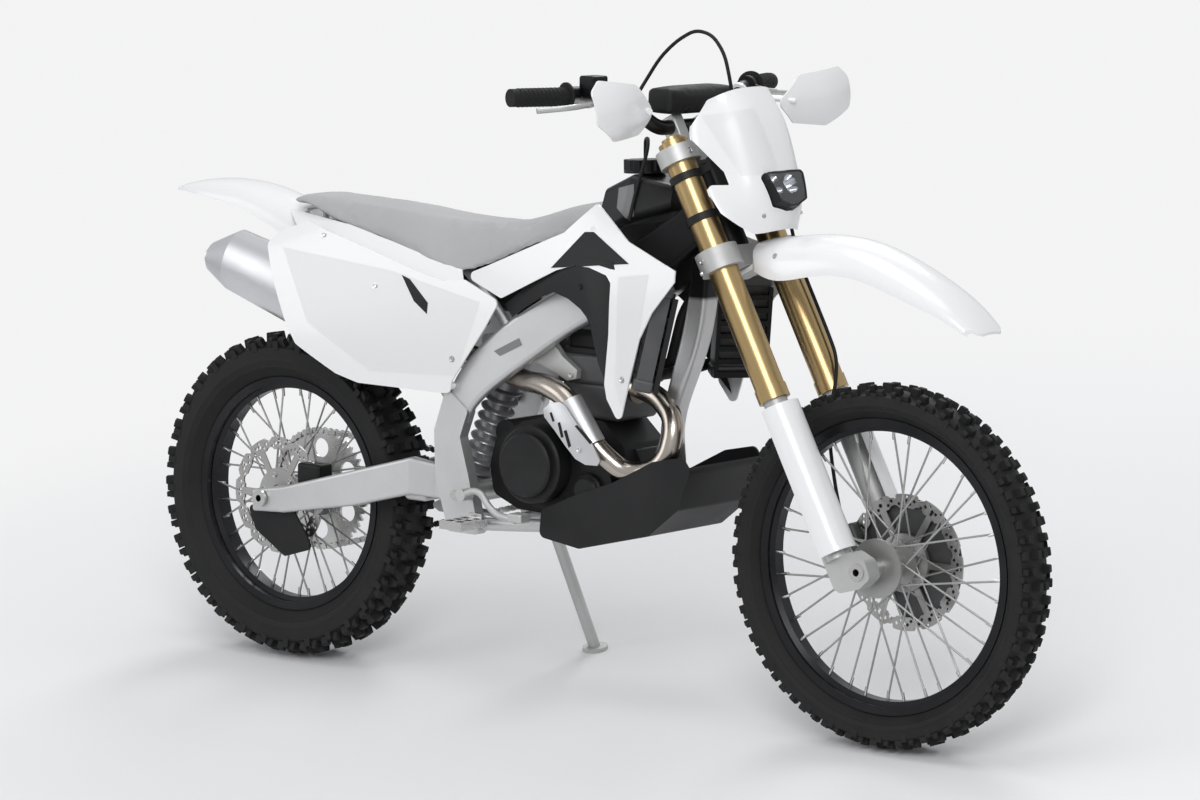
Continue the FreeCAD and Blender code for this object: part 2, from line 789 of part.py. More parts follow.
def muffler():
    """An oval silencer that rises to the rear and ends in a sloping cone."""
    wires = []
    half_width = muffler_width / 2.0
    for x, z, tall, wide in ((272, 716, 24, 24), (248, 724, 42, 36),
                             (205, 737, muffler_height / 2.0, half_width),
                             (-70, 818, muffler_end_height / 2.0, half_width - 4.0)):
        wires.append(oval(vec(x, -muffler_line, z), tall, wide, 16.0))
    body = Part.makeLoft(wires, True, True)
    cap_start = oval(vec(-70, -muffler_line, 818), muffler_end_height / 2.0, half_width - 4.0,
                     16.0)
    out = vec(-132, -muffler_line, 820)
    cap_end = oval(out, 32.0, 27.0, 10.0)
    cap = Part.makeLoft([cap_start, cap_end], True, True)
    whole = fuse([body, cap])
    direction = vec(-math.cos(math.radians(10)), 0, math.sin(math.radians(10)))
    tail = rod(out - direction * 14, out + direction * 8, tailpipe_bore + 6.0)
    hole = rod(out - direction * 80, out + direction * 20, tailpipe_bore)
    return fuse([whole, tail]).cut(hole)


def oval(centre, half_height, half_width, tilt):
    """An ellipse across the silencer, its long axis tilted back from the vertical."""
    angle = math.radians(tilt)
    tall = vec(math.sin(angle), 0, math.cos(angle))
    if half_height > half_width:
        major, minor, long_axis = half_height, half_width, tall
    else:
        major, minor, long_axis = half_width + 0.01, half_height, SIDE
    normal = vec(math.cos(angle), 0, -math.sin(angle))
    ellipse = Part.Ellipse(centre + long_axis * major, centre + normal.cross(long_axis) * minor,
                           centre)
    return Part.Wire(ellipse.toShape())


# Bodywork


def seat_sections():
    """Stations of X, top Z, half width, low Z and half width at the skirt."""
    return [(28, 952, 58, 938, 66), (95, 955, 70, 934, 90), (180, 951, 73, 905, 101),
            (303, 944, 72, 876, 106), (434, 934, 68, 839, 108), (516, 931, 64, 826, 106),
            (600, 934, 60, 850, 100), (700, 959, 56, 892, 92), (785, 982, 54, 930, 84),
            (838, 1001, 48, 972, 66)]


def seat():
    """The long seat: narrow on top, with skirts, hollow below for the rails."""
    outer = []
    inner = []
    for x, top, half, low, skirt in seat_sections():
        corners = [vec(x, -half, top), vec(x, half, top), vec(x, skirt, low), vec(x, -skirt, low)]
        outer.append(rounded_outline(corners, 9.0))
        deep = top - seat_foam
        share = min(1.0, seat_foam / (top - low))
        ceiling = half + (skirt - half) * share - 11.0
        corners = [vec(x, -ceiling, deep), vec(x, ceiling, deep), vec(x, skirt - 10, low - 4),
                   vec(x, skirt - 10, low - 120), vec(x, 10 - skirt, low - 120),
                   vec(x, 10 - skirt, low - 4)]
        inner.append(rounded_outline(corners, 6.0))
    cushion = Part.makeLoft(outer, True, False)
    hollow = Part.makeLoft(inner[1:-1], True, False)
    return cushion.cut(hollow)


def fuel_tank():
    """The tank between the spars, rising to its filler ahead of the seat."""
    wires = []
    for x, top, half, low, foot in ((618, 848, 46, 800, 60), (700, 886, 62, 826, 62),
                                    (770, 918, 60, 880, 74), (806, 928, 72, 898, 86),
                                    (837, 958, 76, 914, 92), (844.4, 1018, 62, 918, 92),
                                    (905, 1047, 62, 950, 92),
                                    (985, 1028, 34, 980, 44)):
        corners = [vec(x, -half, top), vec(x, half, top), vec(x, foot, low), vec(x, -foot, low)]
        wires.append(rounded_outline(corners, 16.0))
    return Part.makeLoft(wires, True, True)


def tank_cap():
    """The filler cap with a scalloped rim."""
    base = vec(892, 0, 1046.8)
    up = vec(-0.04, 0, 1.0)
    lid = Part.makeCylinder(42.0, 26.0, base, up)
    scallops = []
    for index in range(12):
        angle = math.radians(30.0 * index)
        place = base + vec(47.0 * math.cos(angle), 47.0 * math.sin(angle), 6)
        scallops.append(Part.makeCylinder(8.0, 30.0, place, up))
    return lid.cut(Part.makeCompound(scallops))


def side_grid(xs, zs, depths, side):
    """Rows of points for a side panel: a depth from the middle plane at each X and Z."""
    return [[vec(x, side * depth, z) for z, depth in zip(zs, row)]
            for x, row in zip(xs, depths)]


def trimmed(skin, outline, side, radius):
    """The part of a side panel inside an outline seen from the side."""
    low, high = sorted((side * 20.0, side * 320.0))
    return skin.common(side_plate(outline, low, high, radius))


def side_panel(side):
    """The number-plate panel behind the rider's leg."""
    rows = side_grid((20, 250, 450, 660), (580, 700, 800, 930),
                     ((166, 170, 158, 96), (162, 168, 152, 112), (140, 146, 138, 112),
                      (134, 136, 132, 114)), side)
    outline = [(38, 862), (60, 886), (132, 912), (171, 900), (303, 868), (434, 832),
               (500, 818), (552, 824), (642, 788), (609, 734), (528, 622), (522, 598),
               (485, 597), (303, 602), (250, 617), (148, 669), (121, 708)]
    skin = trimmed(sheet(rows, -panel_wall * side), outline, side, 12.0)
    boss = rod(vec(519, side * 125.8, 612), vec(519, side * 138.5, 612), 14.0)
    return fuse([skin, boss])


def shroud(side):
    """The radiator shroud: a long arm back to the seat and a leg down the front."""
    rows = side_grid((540, 750, 930, 1120), (570, 740, 880, 1000),
                     ((124, 124, 122, 114), (152, 148, 142, 118), (174, 174, 166, 124),
                      (198, 202, 200, 172)), side)
    outline = [(545, 832), (648, 795), (795, 861), (844, 875), (885, 874), (934, 863),
               (948, 849), (947, 752), (938, 656), (945, 628), (980, 581), (1000, 651),
               (1030, 749), (1062, 802), (1132, 878), (1118, 887), (978, 930), (874, 994),
               (806, 934), (610, 856)]
    skin = trimmed(sheet(rows, -panel_wall * side), outline, side, 10.0)
    boss = rod(vec(880, side * 86.7, 944), vec(880, side * 146, 944), 14.0)
    return fuse([skin, boss])


def radiator_frame(shape, side):
    """Place a radiator piece: toed out, leaning forward, beside the downtube."""
    placed = shape.copy()
    placed.rotate(vec(0, 0, 0), SIDE, 11.5)
    placed.rotate(vec(0, 0, 0), vec(0, 0, 1), -40.0)
    placed.translate(vec(1022, 140, 752))
    return placed if side > 0 else mirrored(placed)


def radiator(side):
    """A finned core between its two tanks."""
    core = block((-15, 15), (-52, 52), (-82, 82))
    top = rounded_block((-19, 19), (-56, 56), (80, 104), 6.0)
    low = rounded_block((-19, 19), (-56, 56), (-104, -80), 6.0)
    return radiator_frame(fuse([core, top, low]), side)


def louvre(side):
    """The slatted guard ahead of a radiator."""
    frame = block((20, 30), (-54, 54), (-100, 82))
    slots = [block((10, 40), (-46, 46), (-88 + 26 * index, -72 + 26 * index))
             for index in range(7)]
    return radiator_frame(frame.cut(Part.makeCompound(slots)), side)


def rear_fender():
    """The rear fender from under the seat to its upswept tip."""
    stations = ((-308, 950, 44, 8), (-241, 967, 62, 26), (-156, 972, 70, 42),
                (-73, 963, 75, 50), (10, 940, 77, 60), (60, 926, 76, 60))
    skin = sheet(arched_rows(stations), -panel_wall)
    plan = [vec(-306, -30, 0), vec(-306, 30, 0), vec(-270, 90, 0), vec(54, 90, 0),
            vec(54, -90, 0), vec(-270, -90, 0)]
    keep = Part.Face(rounded_outline(plan, 24.0)).extrude(vec(0, 0, 1200))
    posts = [rod(vec(46, y, 898.2), vec(46, y, 927), 14.0) for y in (-30, 30)]
    return fuse([skin.common(keep)] + posts)


def skid_plate():
    """The guard under the engine, with wings up both sides and a raised nose."""
    outline = [(734, 333.6), (833, 320), (1001, 362), (1071, 419), (1100, 497), (1080, 522),
               (1009, 507), (915, 458), (818, 422), (738, 386)]
    outer = side_plate(outline, -118, 118, 14.0)
    inner = side_plate([(x - 5, z + 6) for x, z in outline[:5]]
                       + [(1060, 640), (700, 640), (700, 341)], -113.5, 113.5, 12.0)
    return outer.cut(inner)


# Fittings on the frame


def shock():
    """The rear damper with its spring between its eyes."""
    top = vec(578, 0, 668)
    low = vec(444, 0, 350)
    along = low - top
    length = along.Length
    along.normalize()
    high = spring_radius + spring_wire / 2.0
    deep = spring_radius - spring_wire / 2.0
    first = 72.0
    pitch = (length - 2.0 * first) / spring_turns
    outline = [(0.0, 10.0), (16.0, 10.0), (16.0, 50.0), (high, 52.0), (high, first - 4.0)]
    for index in range(spring_turns):
        start = first + pitch * index
        outline += [(deep, start), (high - 1.5, start + spring_wire * 0.3), (high, start
                    + spring_wire * 0.5), (high - 1.5, start + spring_wire * 0.7),
                    (deep, start + spring_wire)]
    end = first + pitch * spring_turns
    outline += [(high + 2.0, end), (high + 2.0, end + 12.0), (20.0, end + 16.0),
                (20.0, length - 10.0), (0.0, length - 10.0)]
    wire = Part.makePolygon([vec(across, 0, down) for across, down in outline + outline[:1]])
    body = Part.Face(wire).revolve(vec(0, 0, 0), vec(0, 0, 1), 360.0)
    body.Placement = FreeCAD.Placement(top, FreeCAD.Rotation(vec(0, 0, 1), along))
    eyes = [rod(end - SIDE * 17, end + SIDE * 17, 34.0) for end in (top, low)]
    rockers = [side_plate([(430, 338), (456, 336), (458, 362), (400, 362), (378, 350),
                           (400, 338)], side * 15.0, side * 24.0, 6.0) for side in (-1, 1)]
    pulls = [tube([vec(450, side * 22, 342), vec(480, side * 30, 338),
                   vec(543.5, side * 30, 332)], 13.0) for side in (-1, 1)]
    return fuse([body] + eyes + rockers + pulls)


def foot_peg(side):
    """A wide toothed peg on its bracket below the pivot plate."""
    low, high = sorted((side * (plate_outer + 6), side * (plate_outer + 86)))
    tread = block((562, 618), (low, high), (342, 358))
    pockets = [block((568 + 26 * column, 586 + 26 * column),
                     (low + 8 + 24 * row, low + 24 + 24 * row), (330, 370))
               for column in range(2) for row in range(3)]
    inner, outer = sorted((side * (plate_outer + seat_gap), side * (plate_outer + 8)))
    bracket = block((571, 604), (inner, outer), (343, 366))
    return fuse([tread.cut(Part.makeCompound(pockets)), bracket])


def brake_pedal():
    """The rear brake pedal, from its pivot to the folding tip."""
    arm = tube([vec(566, -150, 402), vec(610, -154, 418), vec(650, -158, 374),
                vec(716, -166, 368)], 14.0)
    tip = rounded_block((708, 742), (-186, -152), (366, 384), 4.0)
    pivot = rod(vec(566, -plate_outer - seat_gap, 402), vec(566, -158, 402), 24.0)
    return fuse([arm, tip, pivot])


def shift_lever():
    """The gear lever from its shaft forward to its tip."""
    arm = tube([vec(680, 124, 418), vec(716, 130, 408), vec(752, 138, 398)], 12.0)
    tip = rod(vec(752, 130, 398), vec(752, 162, 398), 16.0)
    shaft = rod(vec(680, 82.3, 418), vec(680, 130, 418), 16.0)
    return fuse([arm, tip, shaft])


def rear_caliper():
    """The rear brake caliper over the front of the disc."""
    plane = rear_disc_plane - disc_thickness / 2.0
    body = rounded_block((66, 128), (plane - 22, plane + 22), (366, 410), 7.0)
    slot = block((40, 119), (plane - disc_thickness / 2 - 1.5, plane + disc_thickness / 2 + 1.5),
                 (340, 430))
    carrier = block((84, 118), (-arm_inner + seat_gap, plane - 18), (342, 374))
    return fuse([body.cut(slot), carrier])


def disc_guard_rear():
    """The fin that guards the rear disc below the axle."""
    outline = [(-62, 311), (-40, 262), (40, 214), (112, 236), (100, 262), (56, 320)]
    inner = -arm_inner + seat_gap
    return side_plate(outline, inner, inner + 5.0, 10.0)


def ground_lift():
    """How far leaning sinks the tyre treads, so how far the machine is raised."""
    angle = math.radians(lean)
    sunk = 0.0
    for radius, width, flange, rim_width, lug in (
            (front_tyre_radius, front_tyre_width, front_flange_radius, front_rim_width,
             front_lug_height),
            (rear_tyre_radius, rear_tyre_width, rear_flange_radius, rear_rim_width,
             rear_lug_height)):
        for y, reach in tyre_section(radius, width, flange, rim_width, lug)[1]:
            sunk = max(sunk, y * math.sin(angle) - (radius - reach) * math.cos(angle))
    return sunk


def stand_foot_centre():
    """The middle of the stand's foot, on the ground of the leaning machine."""
    angle = math.radians(lean)
    lift = ground_lift()
    return vec(stand_foot_x, stand_foot_y * math.cos(angle) + lift * math.sin(angle),
               stand_foot_y * math.sin(angle) - lift * math.cos(angle))


def side_stand():
    """The stand leg, from its pivot eye to a foot that lies flat on the ground."""
    pivot = vec(stand_pivot_x, stand_pivot_y, stand_pivot_z)
    foot = stand_foot_centre()
    angle = math.radians(lean)
    up = vec(0, -math.sin(angle), math.cos(angle))
    leg = rod(pivot, foot + up * 2.0, stand_leg_diameter)
    axis = stand_axis()
    half = stand_leg_diameter / 2.0 + 0.5
    eye = rod(pivot - axis * half, pivot + axis * half, 36.0)
    shoe = Part.makeCylinder(stand_foot_diameter / 2.0, stand_foot_thickness, foot, up)
    whole = fuse([leg, eye, shoe])
    below = Part.makeCylinder(120.0, 60.0, foot - up * 60.0, up)
    hole = rod(pivot - axis * 30, pivot + axis * 30, 12.0 + 2 * seat_gap)
    return whole.cut(below).cut(hole)


def stand_axis():
    """The stand's hinge line, square to its leg and across the machine."""
    pivot = vec(stand_pivot_x, stand_pivot_y, stand_pivot_z)
    leg = stand_foot_centre() - pivot
    axis = vec(0, -leg.z, leg.y)
    axis.normalize()
    return axis


def stand_bracket():
    """The fork bracket and pin that carry the side stand on the left pivot plate."""
    pivot = vec(stand_pivot_x, stand_pivot_y, stand_pivot_z)
    axis = stand_axis()
    near = stand_leg_diameter / 2.0 + 1.0
    pin = rod(pivot - axis * (near + 6), pivot + axis * (near + 6), 12.0)
    inner = rod(pivot - axis * (near + 8), pivot - axis * near, 40.0)
    head = rod(pivot + axis * near, pivot + axis * (near + 5), 20.0)
    web = block((stand_pivot_x - 18, stand_pivot_x + 14), (plate_outer - 8, pivot.y - near - 5),
                (pivot.z - 6, pivot.z + 16))
    return fuse([pin, inner, head, web])


# Steering group, made about a vertical axis: X ahead of it, Z up along it


def lower_clamp():
    """The lower clamp with its stem and a pinch slot round each leg."""
    y = leg_spacing / 2.0
    reach = fork_upper_diameter / 2.0 + clamp_wall
    base = lower_clamp_level
    plan = [vec(-26, -28, base), vec(-26, 28, base), vec(2, y, base), vec(46, y, base),
            vec(42, 34, base), vec(42, -34, base), vec(46, -y, base), vec(2, -y, base)]
    middle = Part.Face(rounded_outline(plan, 8.0)).extrude(vec(0, 0, lower_clamp_height))
    collars = [Part.makeCylinder(reach, lower_clamp_height, vec(fork_offset, side * y, base))
               for side in (-1, 1)]
    stem = Part.makeCylinder(stem_diameter / 2.0, upper_clamp_level - base - 0.3, vec(0, 0, base))
    foot = Part.makeCylinder(27.0, 3.0, vec(0, 0, base + lower_clamp_height))
    whole = fuse([middle, stem, foot] + collars)
    return to_fork(whole.cut(leg_holes()))


def leg_holes():
    """The bores that the fork legs pass through."""
    radius = fork_upper_diameter / 2.0 + seat_gap
    return Part.makeCompound([
        Part.makeCylinder(radius, 600.0, vec(fork_offset, side * leg_spacing / 2.0, 400.0))
        for side in (-1, 1)])


def upper_clamp():
    """The upper clamp, waisted between its collars, with the stem nut on top."""
    y = leg_spacing / 2.0
    reach = fork_upper_diameter / 2.0 + clamp_wall - 2.0
    base = upper_clamp_level
    plan = [vec(-30, -34, base), vec(-30, 34, base), vec(0, y, base), vec(44, y, base),
            vec(40, 34, base), vec(40, -34, base), vec(44, -y, base), vec(0, -y, base)]
    middle = Part.Face(rounded_outline(plan, 8.0)).extrude(vec(0, 0, upper_clamp_height))
    collars = [Part.makeCylinder(reach, upper_clamp_height, vec(fork_offset, side * y, base))
               for side in (-1, 1)]
    nut = Part.makeCylinder(16.0, 10.0, vec(0, 0, base + upper_clamp_height))
    whole = fuse([middle, nut] + collars)
    hole = Part.makeCylinder(breather_diameter / 2.0 + 1.0, 60.0, vec(0, 0, base + 16.0))
    return to_fork(whole.cut(leg_holes()).cut(hole))


def fork_upper(side):
    """An anodised outer tube with its cap."""
    place = vec(fork_offset, side * leg_spacing / 2.0, fork_upper_bottom)
    outer = Part.makeCylinder(fork_upper_diameter / 2.0, fork_top - fork_upper_bottom, place)
    foot = Part.makeCylinder(fork_upper_diameter / 2.0 + 2.0, 26.0, place)
    cap = Part.makeCylinder(20.0, 8.0, place + vec(0, 0, fork_top - fork_upper_bottom))
    return to_fork(fuse([outer, foot, cap]))


def fork_lower(side):
    """The inner tube and the axle lug at its foot."""
    y = side * leg_spacing / 2.0
    low, high = sorted((side * lug_inner, side * (lug_inner + lug_width)))
    slider = Part.makeCylinder(fork_lower_diameter / 2.0, fork_upper_bottom - 40.0,
                               vec(fork_offset, y, 40.0))
    socket = Part.makeCylinder(fork_lower_diameter / 2.0 + 5.0, 96.0, vec(fork_offset, y, -12.0))
    ahead = fork_offset + axle_lead
    outline = [(fork_offset - 26, 44), (fork_offset - 22, -20), (ahead - 8, -30),
               (ahead + 22, -22), (ahead + 26, 12), (ahead + 4, 40)]
    lug = side_plate(outline, low, high, 12.0)
    trim = block((-60, 140), (min(low, high) - 30, low), (-60, 86))
    trim_out = block((-60, 140), (high, high + 40), (-60, 86))
    hole = Part.makeCylinder(axle_diameter / 2.0 + 0.02, 300, vec(ahead, -150, 0), SIDE)
    return to_fork(fuse([slider, socket.cut(trim).cut(trim_out), lug]).cut(hole))


def fork_guard(side):
    """The plastic guard that wraps the front and outside of a lower leg."""
    y = side * leg_spacing / 2.0
    radius = fork_upper_diameter / 2.0 + 8.0
    rows = []
    for up in (348.0, 250.0, 150.0, 50.0):
        row = []
        for angle in (-30.0, 5.0, 40.0, 75.0, 110.0):
            turn = math.radians(angle)
            row.append(vec(fork_offset + 2 + radius * math.cos(turn),
                           y + side * radius * math.sin(turn), up))
        rows.append(row)
    skin = sheet(rows, 3.0 * side)
    posts = [rod(vec(fork_offset, y + side * (fork_lower_diameter / 2.0 + seat_gap), up),
                 vec(fork_offset, y + side * (radius + 1.0), up), 14.0) for up in (150.0, 250.0)]
    return to_fork(fuse([skin] + posts))


def front_axle_bar():
    """The hollow front axle with its spacers beside the hub."""
    reach = lug_inner + lug_width + 3.0
    centre = front_axle
    bar = Part.makeCylinder(axle_diameter / 2.0, 2 * reach, centre - SIDE * reach, SIDE)
    nut = Part.makeCylinder(axle_diameter / 2.0 + 5, 3, centre + SIDE * (reach - 3), SIDE)
    head = Part.makeCylinder(axle_diameter / 2.0 + 5, 3, centre - SIDE * reach, SIDE)
    left = Part.makeCylinder(18, lug_inner - front_disc_plane - 0.6,
                             centre + SIDE * (front_disc_plane + 0.3), SIDE)
    right = Part.makeCylinder(18, lug_inner - front_disc_plane + 8.0 - 0.6,
                              centre - SIDE * (lug_inner - 0.3), SIDE)
    hole = Part.makeCylinder(axle_bore / 2.0, 2 * reach + 2, centre - SIDE * (reach + 1), SIDE)
    return fuse([bar, nut, head, left, right]).cut(hole)


def front_caliper():
    """The front caliper behind the left leg, straddling the disc, and its bracket."""
    plane = front_disc_plane + disc_thickness / 2.0
    body = rounded_block((-82, -6), (plane - 24, plane + 18), (40, 112), 8.0)
    ear = block((-40, 0.6), (62.0, 78.0), (52, 98))
    body = fuse([body, ear])
    slot = block((-72, 30), (plane - disc_thickness / 2 - 1.5, plane + disc_thickness / 2 + 1.5),
                 (20, 140))
    return to_fork(body.cut(slot))


def front_disc_guard():
    """The guard plate outside the lower front disc."""
    y = lug_inner - 9.0
    centre = fork_offset + axle_lead
    plate = Part.makeCylinder(front_disc_radius - 8.0, 3.5, vec(centre, y, 0), SIDE)
    hole = Part.makeCylinder(30.0, 8.0, vec(centre, y - 2, 0), SIDE)
    behind = block((-200, 3.0), (y - 5, y + 10), (-200, 200))
    posts = [rod(vec(ahead, y, up), vec(ahead, lug_inner - seat_gap, up), 12.0)
             for ahead, up in ((20.0, 26.0), (16.0, -8.0))]
    return to_fork(fuse([plate.cut(hole).cut(behind)] + posts))


def front_fender():
    """The high front fender below the lower clamp."""
    stations = ((1178, 934, 48, 46), (1245, 948, 70, 78), (1330, 957, 76, 76),
                (1425, 951, 76, 64), (1490, 932, 75, 60), (1565, 899, 72, 52),
                (1640, 855, 64, 38), (1698, 800, 50, 14))
    skin = sheet(arched_rows(stations), -panel_wall)
    plan = [vec(1180, -44, 0), vec(1180, 44, 0), vec(1240, 90, 0), vec(1640, 90, 0),
            vec(1696, 34, 0), vec(1696, -34, 0), vec(1640, -90, 0), vec(1240, -90, 0)]
    keep = Part.Face(rounded_outline(plan, 30.0)).extrude(vec(0, 0, 1200))
    underside = lower_clamp_level - seat_gap
    tongue = to_fork(rounded_block((-20, 66), (-32, 32), (underside - 9, underside), 4.0))
    riser = side_plate([(1172, 886), (1192, 890), (1226, 938), (1188, 930)], -32, 32, 3.0)
    return fuse([skin.common(keep), tongue, riser])


def mask_rows():
    """Rows of points down the headlamp mask, from its left edge to its right edge."""
    rows = []
    for up, profile in (
            (944.0, ((130, 104), (150, 84), (167, 54), (172, 0))),
            (885.0, ((82, 116), (130, 90), (172, 56), (179, 0))),
            (830.0, ((76, 118), (122, 94), (170, 57), (178, 0))),
            (775.0, ((70, 114), (112, 93), (160, 58), (171, 0))),
            (725.0, ((70, 108), (108, 88), (148, 56), (160, 0))),
            (690.0, ((82, 90), (112, 72), (136, 46), (146, 0))),
            (646.0, ((88, 60), (100, 44), (110, 26), (114, 0)))):
        right = [vec(ahead, -y, up) for ahead, y in profile]
        left = [vec(ahead, y, up) for ahead, y in reversed(profile[:-1])]
        rows.append(right + left)
    return rows


def lamp_outline(grow):
    """The headlamp's face, seen from ahead: wide on top with a pointed chin."""
    return [vec(0, -60 - grow, 762 + grow), vec(0, 60 + grow, 762 + grow),
            vec(0, 42 + grow, 703 - grow), vec(0, 10, 692 - grow), vec(0, -10, 692 - grow),
            vec(0, -42 - grow, 703 - grow)]


def headlight_mask():
    """The mask with its upper plate, its chin and its two ears beside the legs."""
    surface = Part.BSplineSurface()
    surface.interpolate(mask_rows())
    side = [(196, 933), (127, 933), (84, 897), (79, 876), (116, 777), (111, 765), (66, 786),
            (73, 724), (100, 668), (112, 664), (200, 654)]
    face = surface.toShape().common(side_plate(side, -140, 140, 10.0))
    opening = Part.Face(rounded_outline(lamp_outline(1.4), 8.0)).extrude(vec(300, 0, 0))
    return to_fork(face.cut(opening).makeOffsetShape(panel_wall, 0.01, fill=True))


def headlamp():
    """The lamp body, standing a little proud of the mask's opening."""
    face = Part.Face(rounded_outline(lamp_outline(0.0), 8.0)).extrude(vec(90, 0, 0))
    face.translate(vec(85.9, 0, 0))
    crown = Part.makeCylinder(250.0, 300.0, vec(-78, -150, 742), SIDE)
    return to_fork(face.common(crown))


def mask_bracket():
    """Straps that hold the mask and the lamp to the fork legs."""
    pieces = []
    for side in (-1, 1):
        y = side * leg_spacing / 2.0
        for up in (728.0, 812.0):
            band = ring(vec(fork_offset, y, up), vec(0, 0, 1), fork_upper_diameter / 2.0 + 4.0,
                        fork_upper_diameter / 2.0 + seat_gap, 14.0)
            pieces.append(band)
            near, far = sorted((y - side * 8.0, y - side * 4.0))
            pieces.append(block((fork_offset + fork_upper_diameter / 2.0 + 1.0, 84.0),
                                (near, far), (up, up + 14)))
        low, high = sorted((side * 62.0, side * (leg_spacing / 2.0 - 5)))
        pieces.append(block((78, 85.6), (low, high), (703, 836)))
    bar = block((78, 85.6), (-64, 64), (716, 744))
    return to_fork(fuse(pieces + [bar]))


def bar_half(side):
    """The line of one half of the handlebar, from its middle to its end."""
    return [fork_point(bar_set_forward, 0, bar_level),
            fork_point(bar_set_forward, side * 100, bar_level),
            vec(977, side * 168, 1188), vec(944, side * 238, 1206.5),
            vec(888, side * bar_half_width, 1207)]


def handlebar():
    """The bar: thick through its clamps, slimmer from the bends to the ends."""
    thick = []
    slim = []
    for side in (-1, 1):
        points = bar_half(side)
        whole = tube(points, bar_grip_diameter, 60.0)
        slim.append(whole)
        near = tube(points[:3], bar_diameter, 60.0)
        thick.append(near)
    return fuse(thick + slim)


def bar_clamps():
    """Two posts on the upper clamp with the caps that hold the bar."""
    pieces = []
    top = upper_clamp_level + upper_clamp_height
    for side in (-1, 1):
        y = side * riser_spacing / 2.0
        post = rounded_block((bar_set_forward - 18, bar_set_forward + 18), (y - 15, y + 15),
                             (top - 10, bar_level + 21), 4.0)
        post = post.cut(block((-60, 60), (-90, 90), (top - 40, top)))
        hole = Part.makeCylinder(bar_diameter / 2.0 + 0.05, 200,
                                 vec(bar_set_forward, -100, bar_level), SIDE)
        pieces.append(post.cut(hole))
    return to_fork(Part.makeCompound(pieces))


def bar_pad():
    """The foam block over the bar between its clamps, with a plain face."""
    middle = fork_point(bar_set_forward, 0, bar_level)
    low = middle.z + bar_diameter / 2.0 + 11.6
    return rounded_block((middle.x - 30, middle.x + 34), (-105, 105), (low, low + 52), 9.0)


def grip(side):
    """A rubber grip with a flange at its inner end."""
    points = bar_half(side)
    end = points[-1]
    along = points[-2] - end
    along.normalize()
    body = rod(end - along * 4, end + along * grip_length, grip_diameter)
    flange = rod(end + along * (grip_length - 4), end + along * grip_length, 54.0)
    hole = rod(end, end + along * (grip_length + 10), bar_grip_diameter + 0.1)
    return fuse([body, flange]).cut(hole)


def lever_group(side):
    """The perch on the bar and its lever, folded shape and all."""
    points = bar_half(side)
    end = points[-1]
    along = points[-2] - end
    along.normalize()
    seat = end + along * (grip_length + 18)
    perch = rod(seat - along * 12, seat + along * 12, bar_grip_diameter + 16)
    hole = rod(seat - along * 30, seat + along * 30, bar_grip_diameter + 0.1)
    ahead = vec(46, 0, -10)
    arm = tube([seat + ahead * 0.3, seat + ahead, seat + ahead + vec(4, side * 24, -2)], 14.0)
    blade = tube([seat + ahead + vec(4, side * 22, -2), seat + ahead + vec(2, side * 70, -6),
                  end + vec(52, side * -10, -22)], 11.0)
    return fuse([perch, arm, blade]).cut(hole)


def brake_lever():
    """The front brake lever with its master cylinder and reservoir."""
    points = bar_half(-1)
    end = points[-1]
    along = points[-2] - end
    along.normalize()
    seat = end + along * (grip_length + 18)
    cylinder_body = rod(seat + vec(37, -12, 4), seat + vec(46, 34, 8), 24.0)
    reservoir = rounded_block((seat.x + 12, seat.x + 48), (seat.y - 6, seat.y + 40),
                              (seat.z + 10, seat.z + 40), 5.0)
    hole = rod(seat - along * 60, seat + along * 60, bar_grip_diameter + 0.1)
    return fuse([lever_group(-1), cylinder_body, reservoir]).cut(hole)


def clutch_lever():
    return lever_group(1)


def hand_guard(side):
    """A flared hand guard ahead of the lever, on a stay from the bar."""
    rows = []
    for y, bulge in ((190, 1056), (262, 1080), (335, 1094), (415, 1084)):
        rows.append([vec(bulge - 26, side * y, 1122), vec(bulge, side * y, 1172),
                     vec(bulge - 4, side * y, 1212), vec(bulge - 26, side * y, 1256)])
    skin = sheet(rows, -3.0 * side)
    face = [vec(900, side * y, z) for y, z in ((197, 1180), (258, 1234), (380, 1247),
                                               (407, 1226), (400, 1166), (335, 1132),
                                               (246, 1140))]
    keep = Part.Face(rounded_outline(face, 16.0)).extrude(vec(260, 0, 0))
    points = bar_half(side)
    along = points[3] - points[2]
    middle = points[2] + along * 0.5
    along.normalize()
    clamp = ring(middle - along * 5, along, bar_grip_diameter / 2.0 + 7.0,
                 bar_grip_diameter / 2.0 + 2 * seat_gap, 10.0)
    stay = tube([middle + vec(bar_grip_diameter / 2.0 + 6.6, 0, 0), middle + vec(62, 0, -6),
                 vec(1078, side * 232, 1184)], 12.0)
    return fuse([skin.common(keep), clamp, stay])


def both(make):
    """The right and the left piece of a pair, as two solids of one node."""
    return lambda: Part.makeCompound([make(-1), make(1)])


def group(*makes):
    """Pieces that share a node and a finish, as solids that do not touch."""
    return lambda: Part.makeCompound([make() for make in makes])


# Hoses that the machine holds all the way


def brake_hose():
    """The front brake hose: a high loop over the bar, then down the left leg."""
    upper = [vec(979.1, -233.9, 1215), vec(987, -196, 1218), vec(966, -150, 1200),
             vec(930, -100, 1180), vec(908, -56, 1194), vec(918, -34, 1230),
             vec(946, -30, 1272), vec(986, -30, 1306), vec(1030, -30, 1328),
             vec(1070, -30, 1320), vec(1098, -29, 1286), vec(1109, -26, 1241)]
    lower = [fork_point(ahead, y, up) for ahead, y, up in (
        (132, -14, 924), (121, 10, 882), (110, 44, 845), (100, 74, 802), (96, 80, 752),
        (91, 78, 702), (75, 84, 651), (63, 93, 594), (62, 95, 532), (62, 95, 470),
        (62, 93, 420), (55, 72, 374), (27, 60, 330), (0, 59, 280), (-18, 60, 230),
        (-32, 60, 182), (-41, 60, 142), (-44, 60, 113))]
    return tube(upper + lower, brake_hose_diameter)


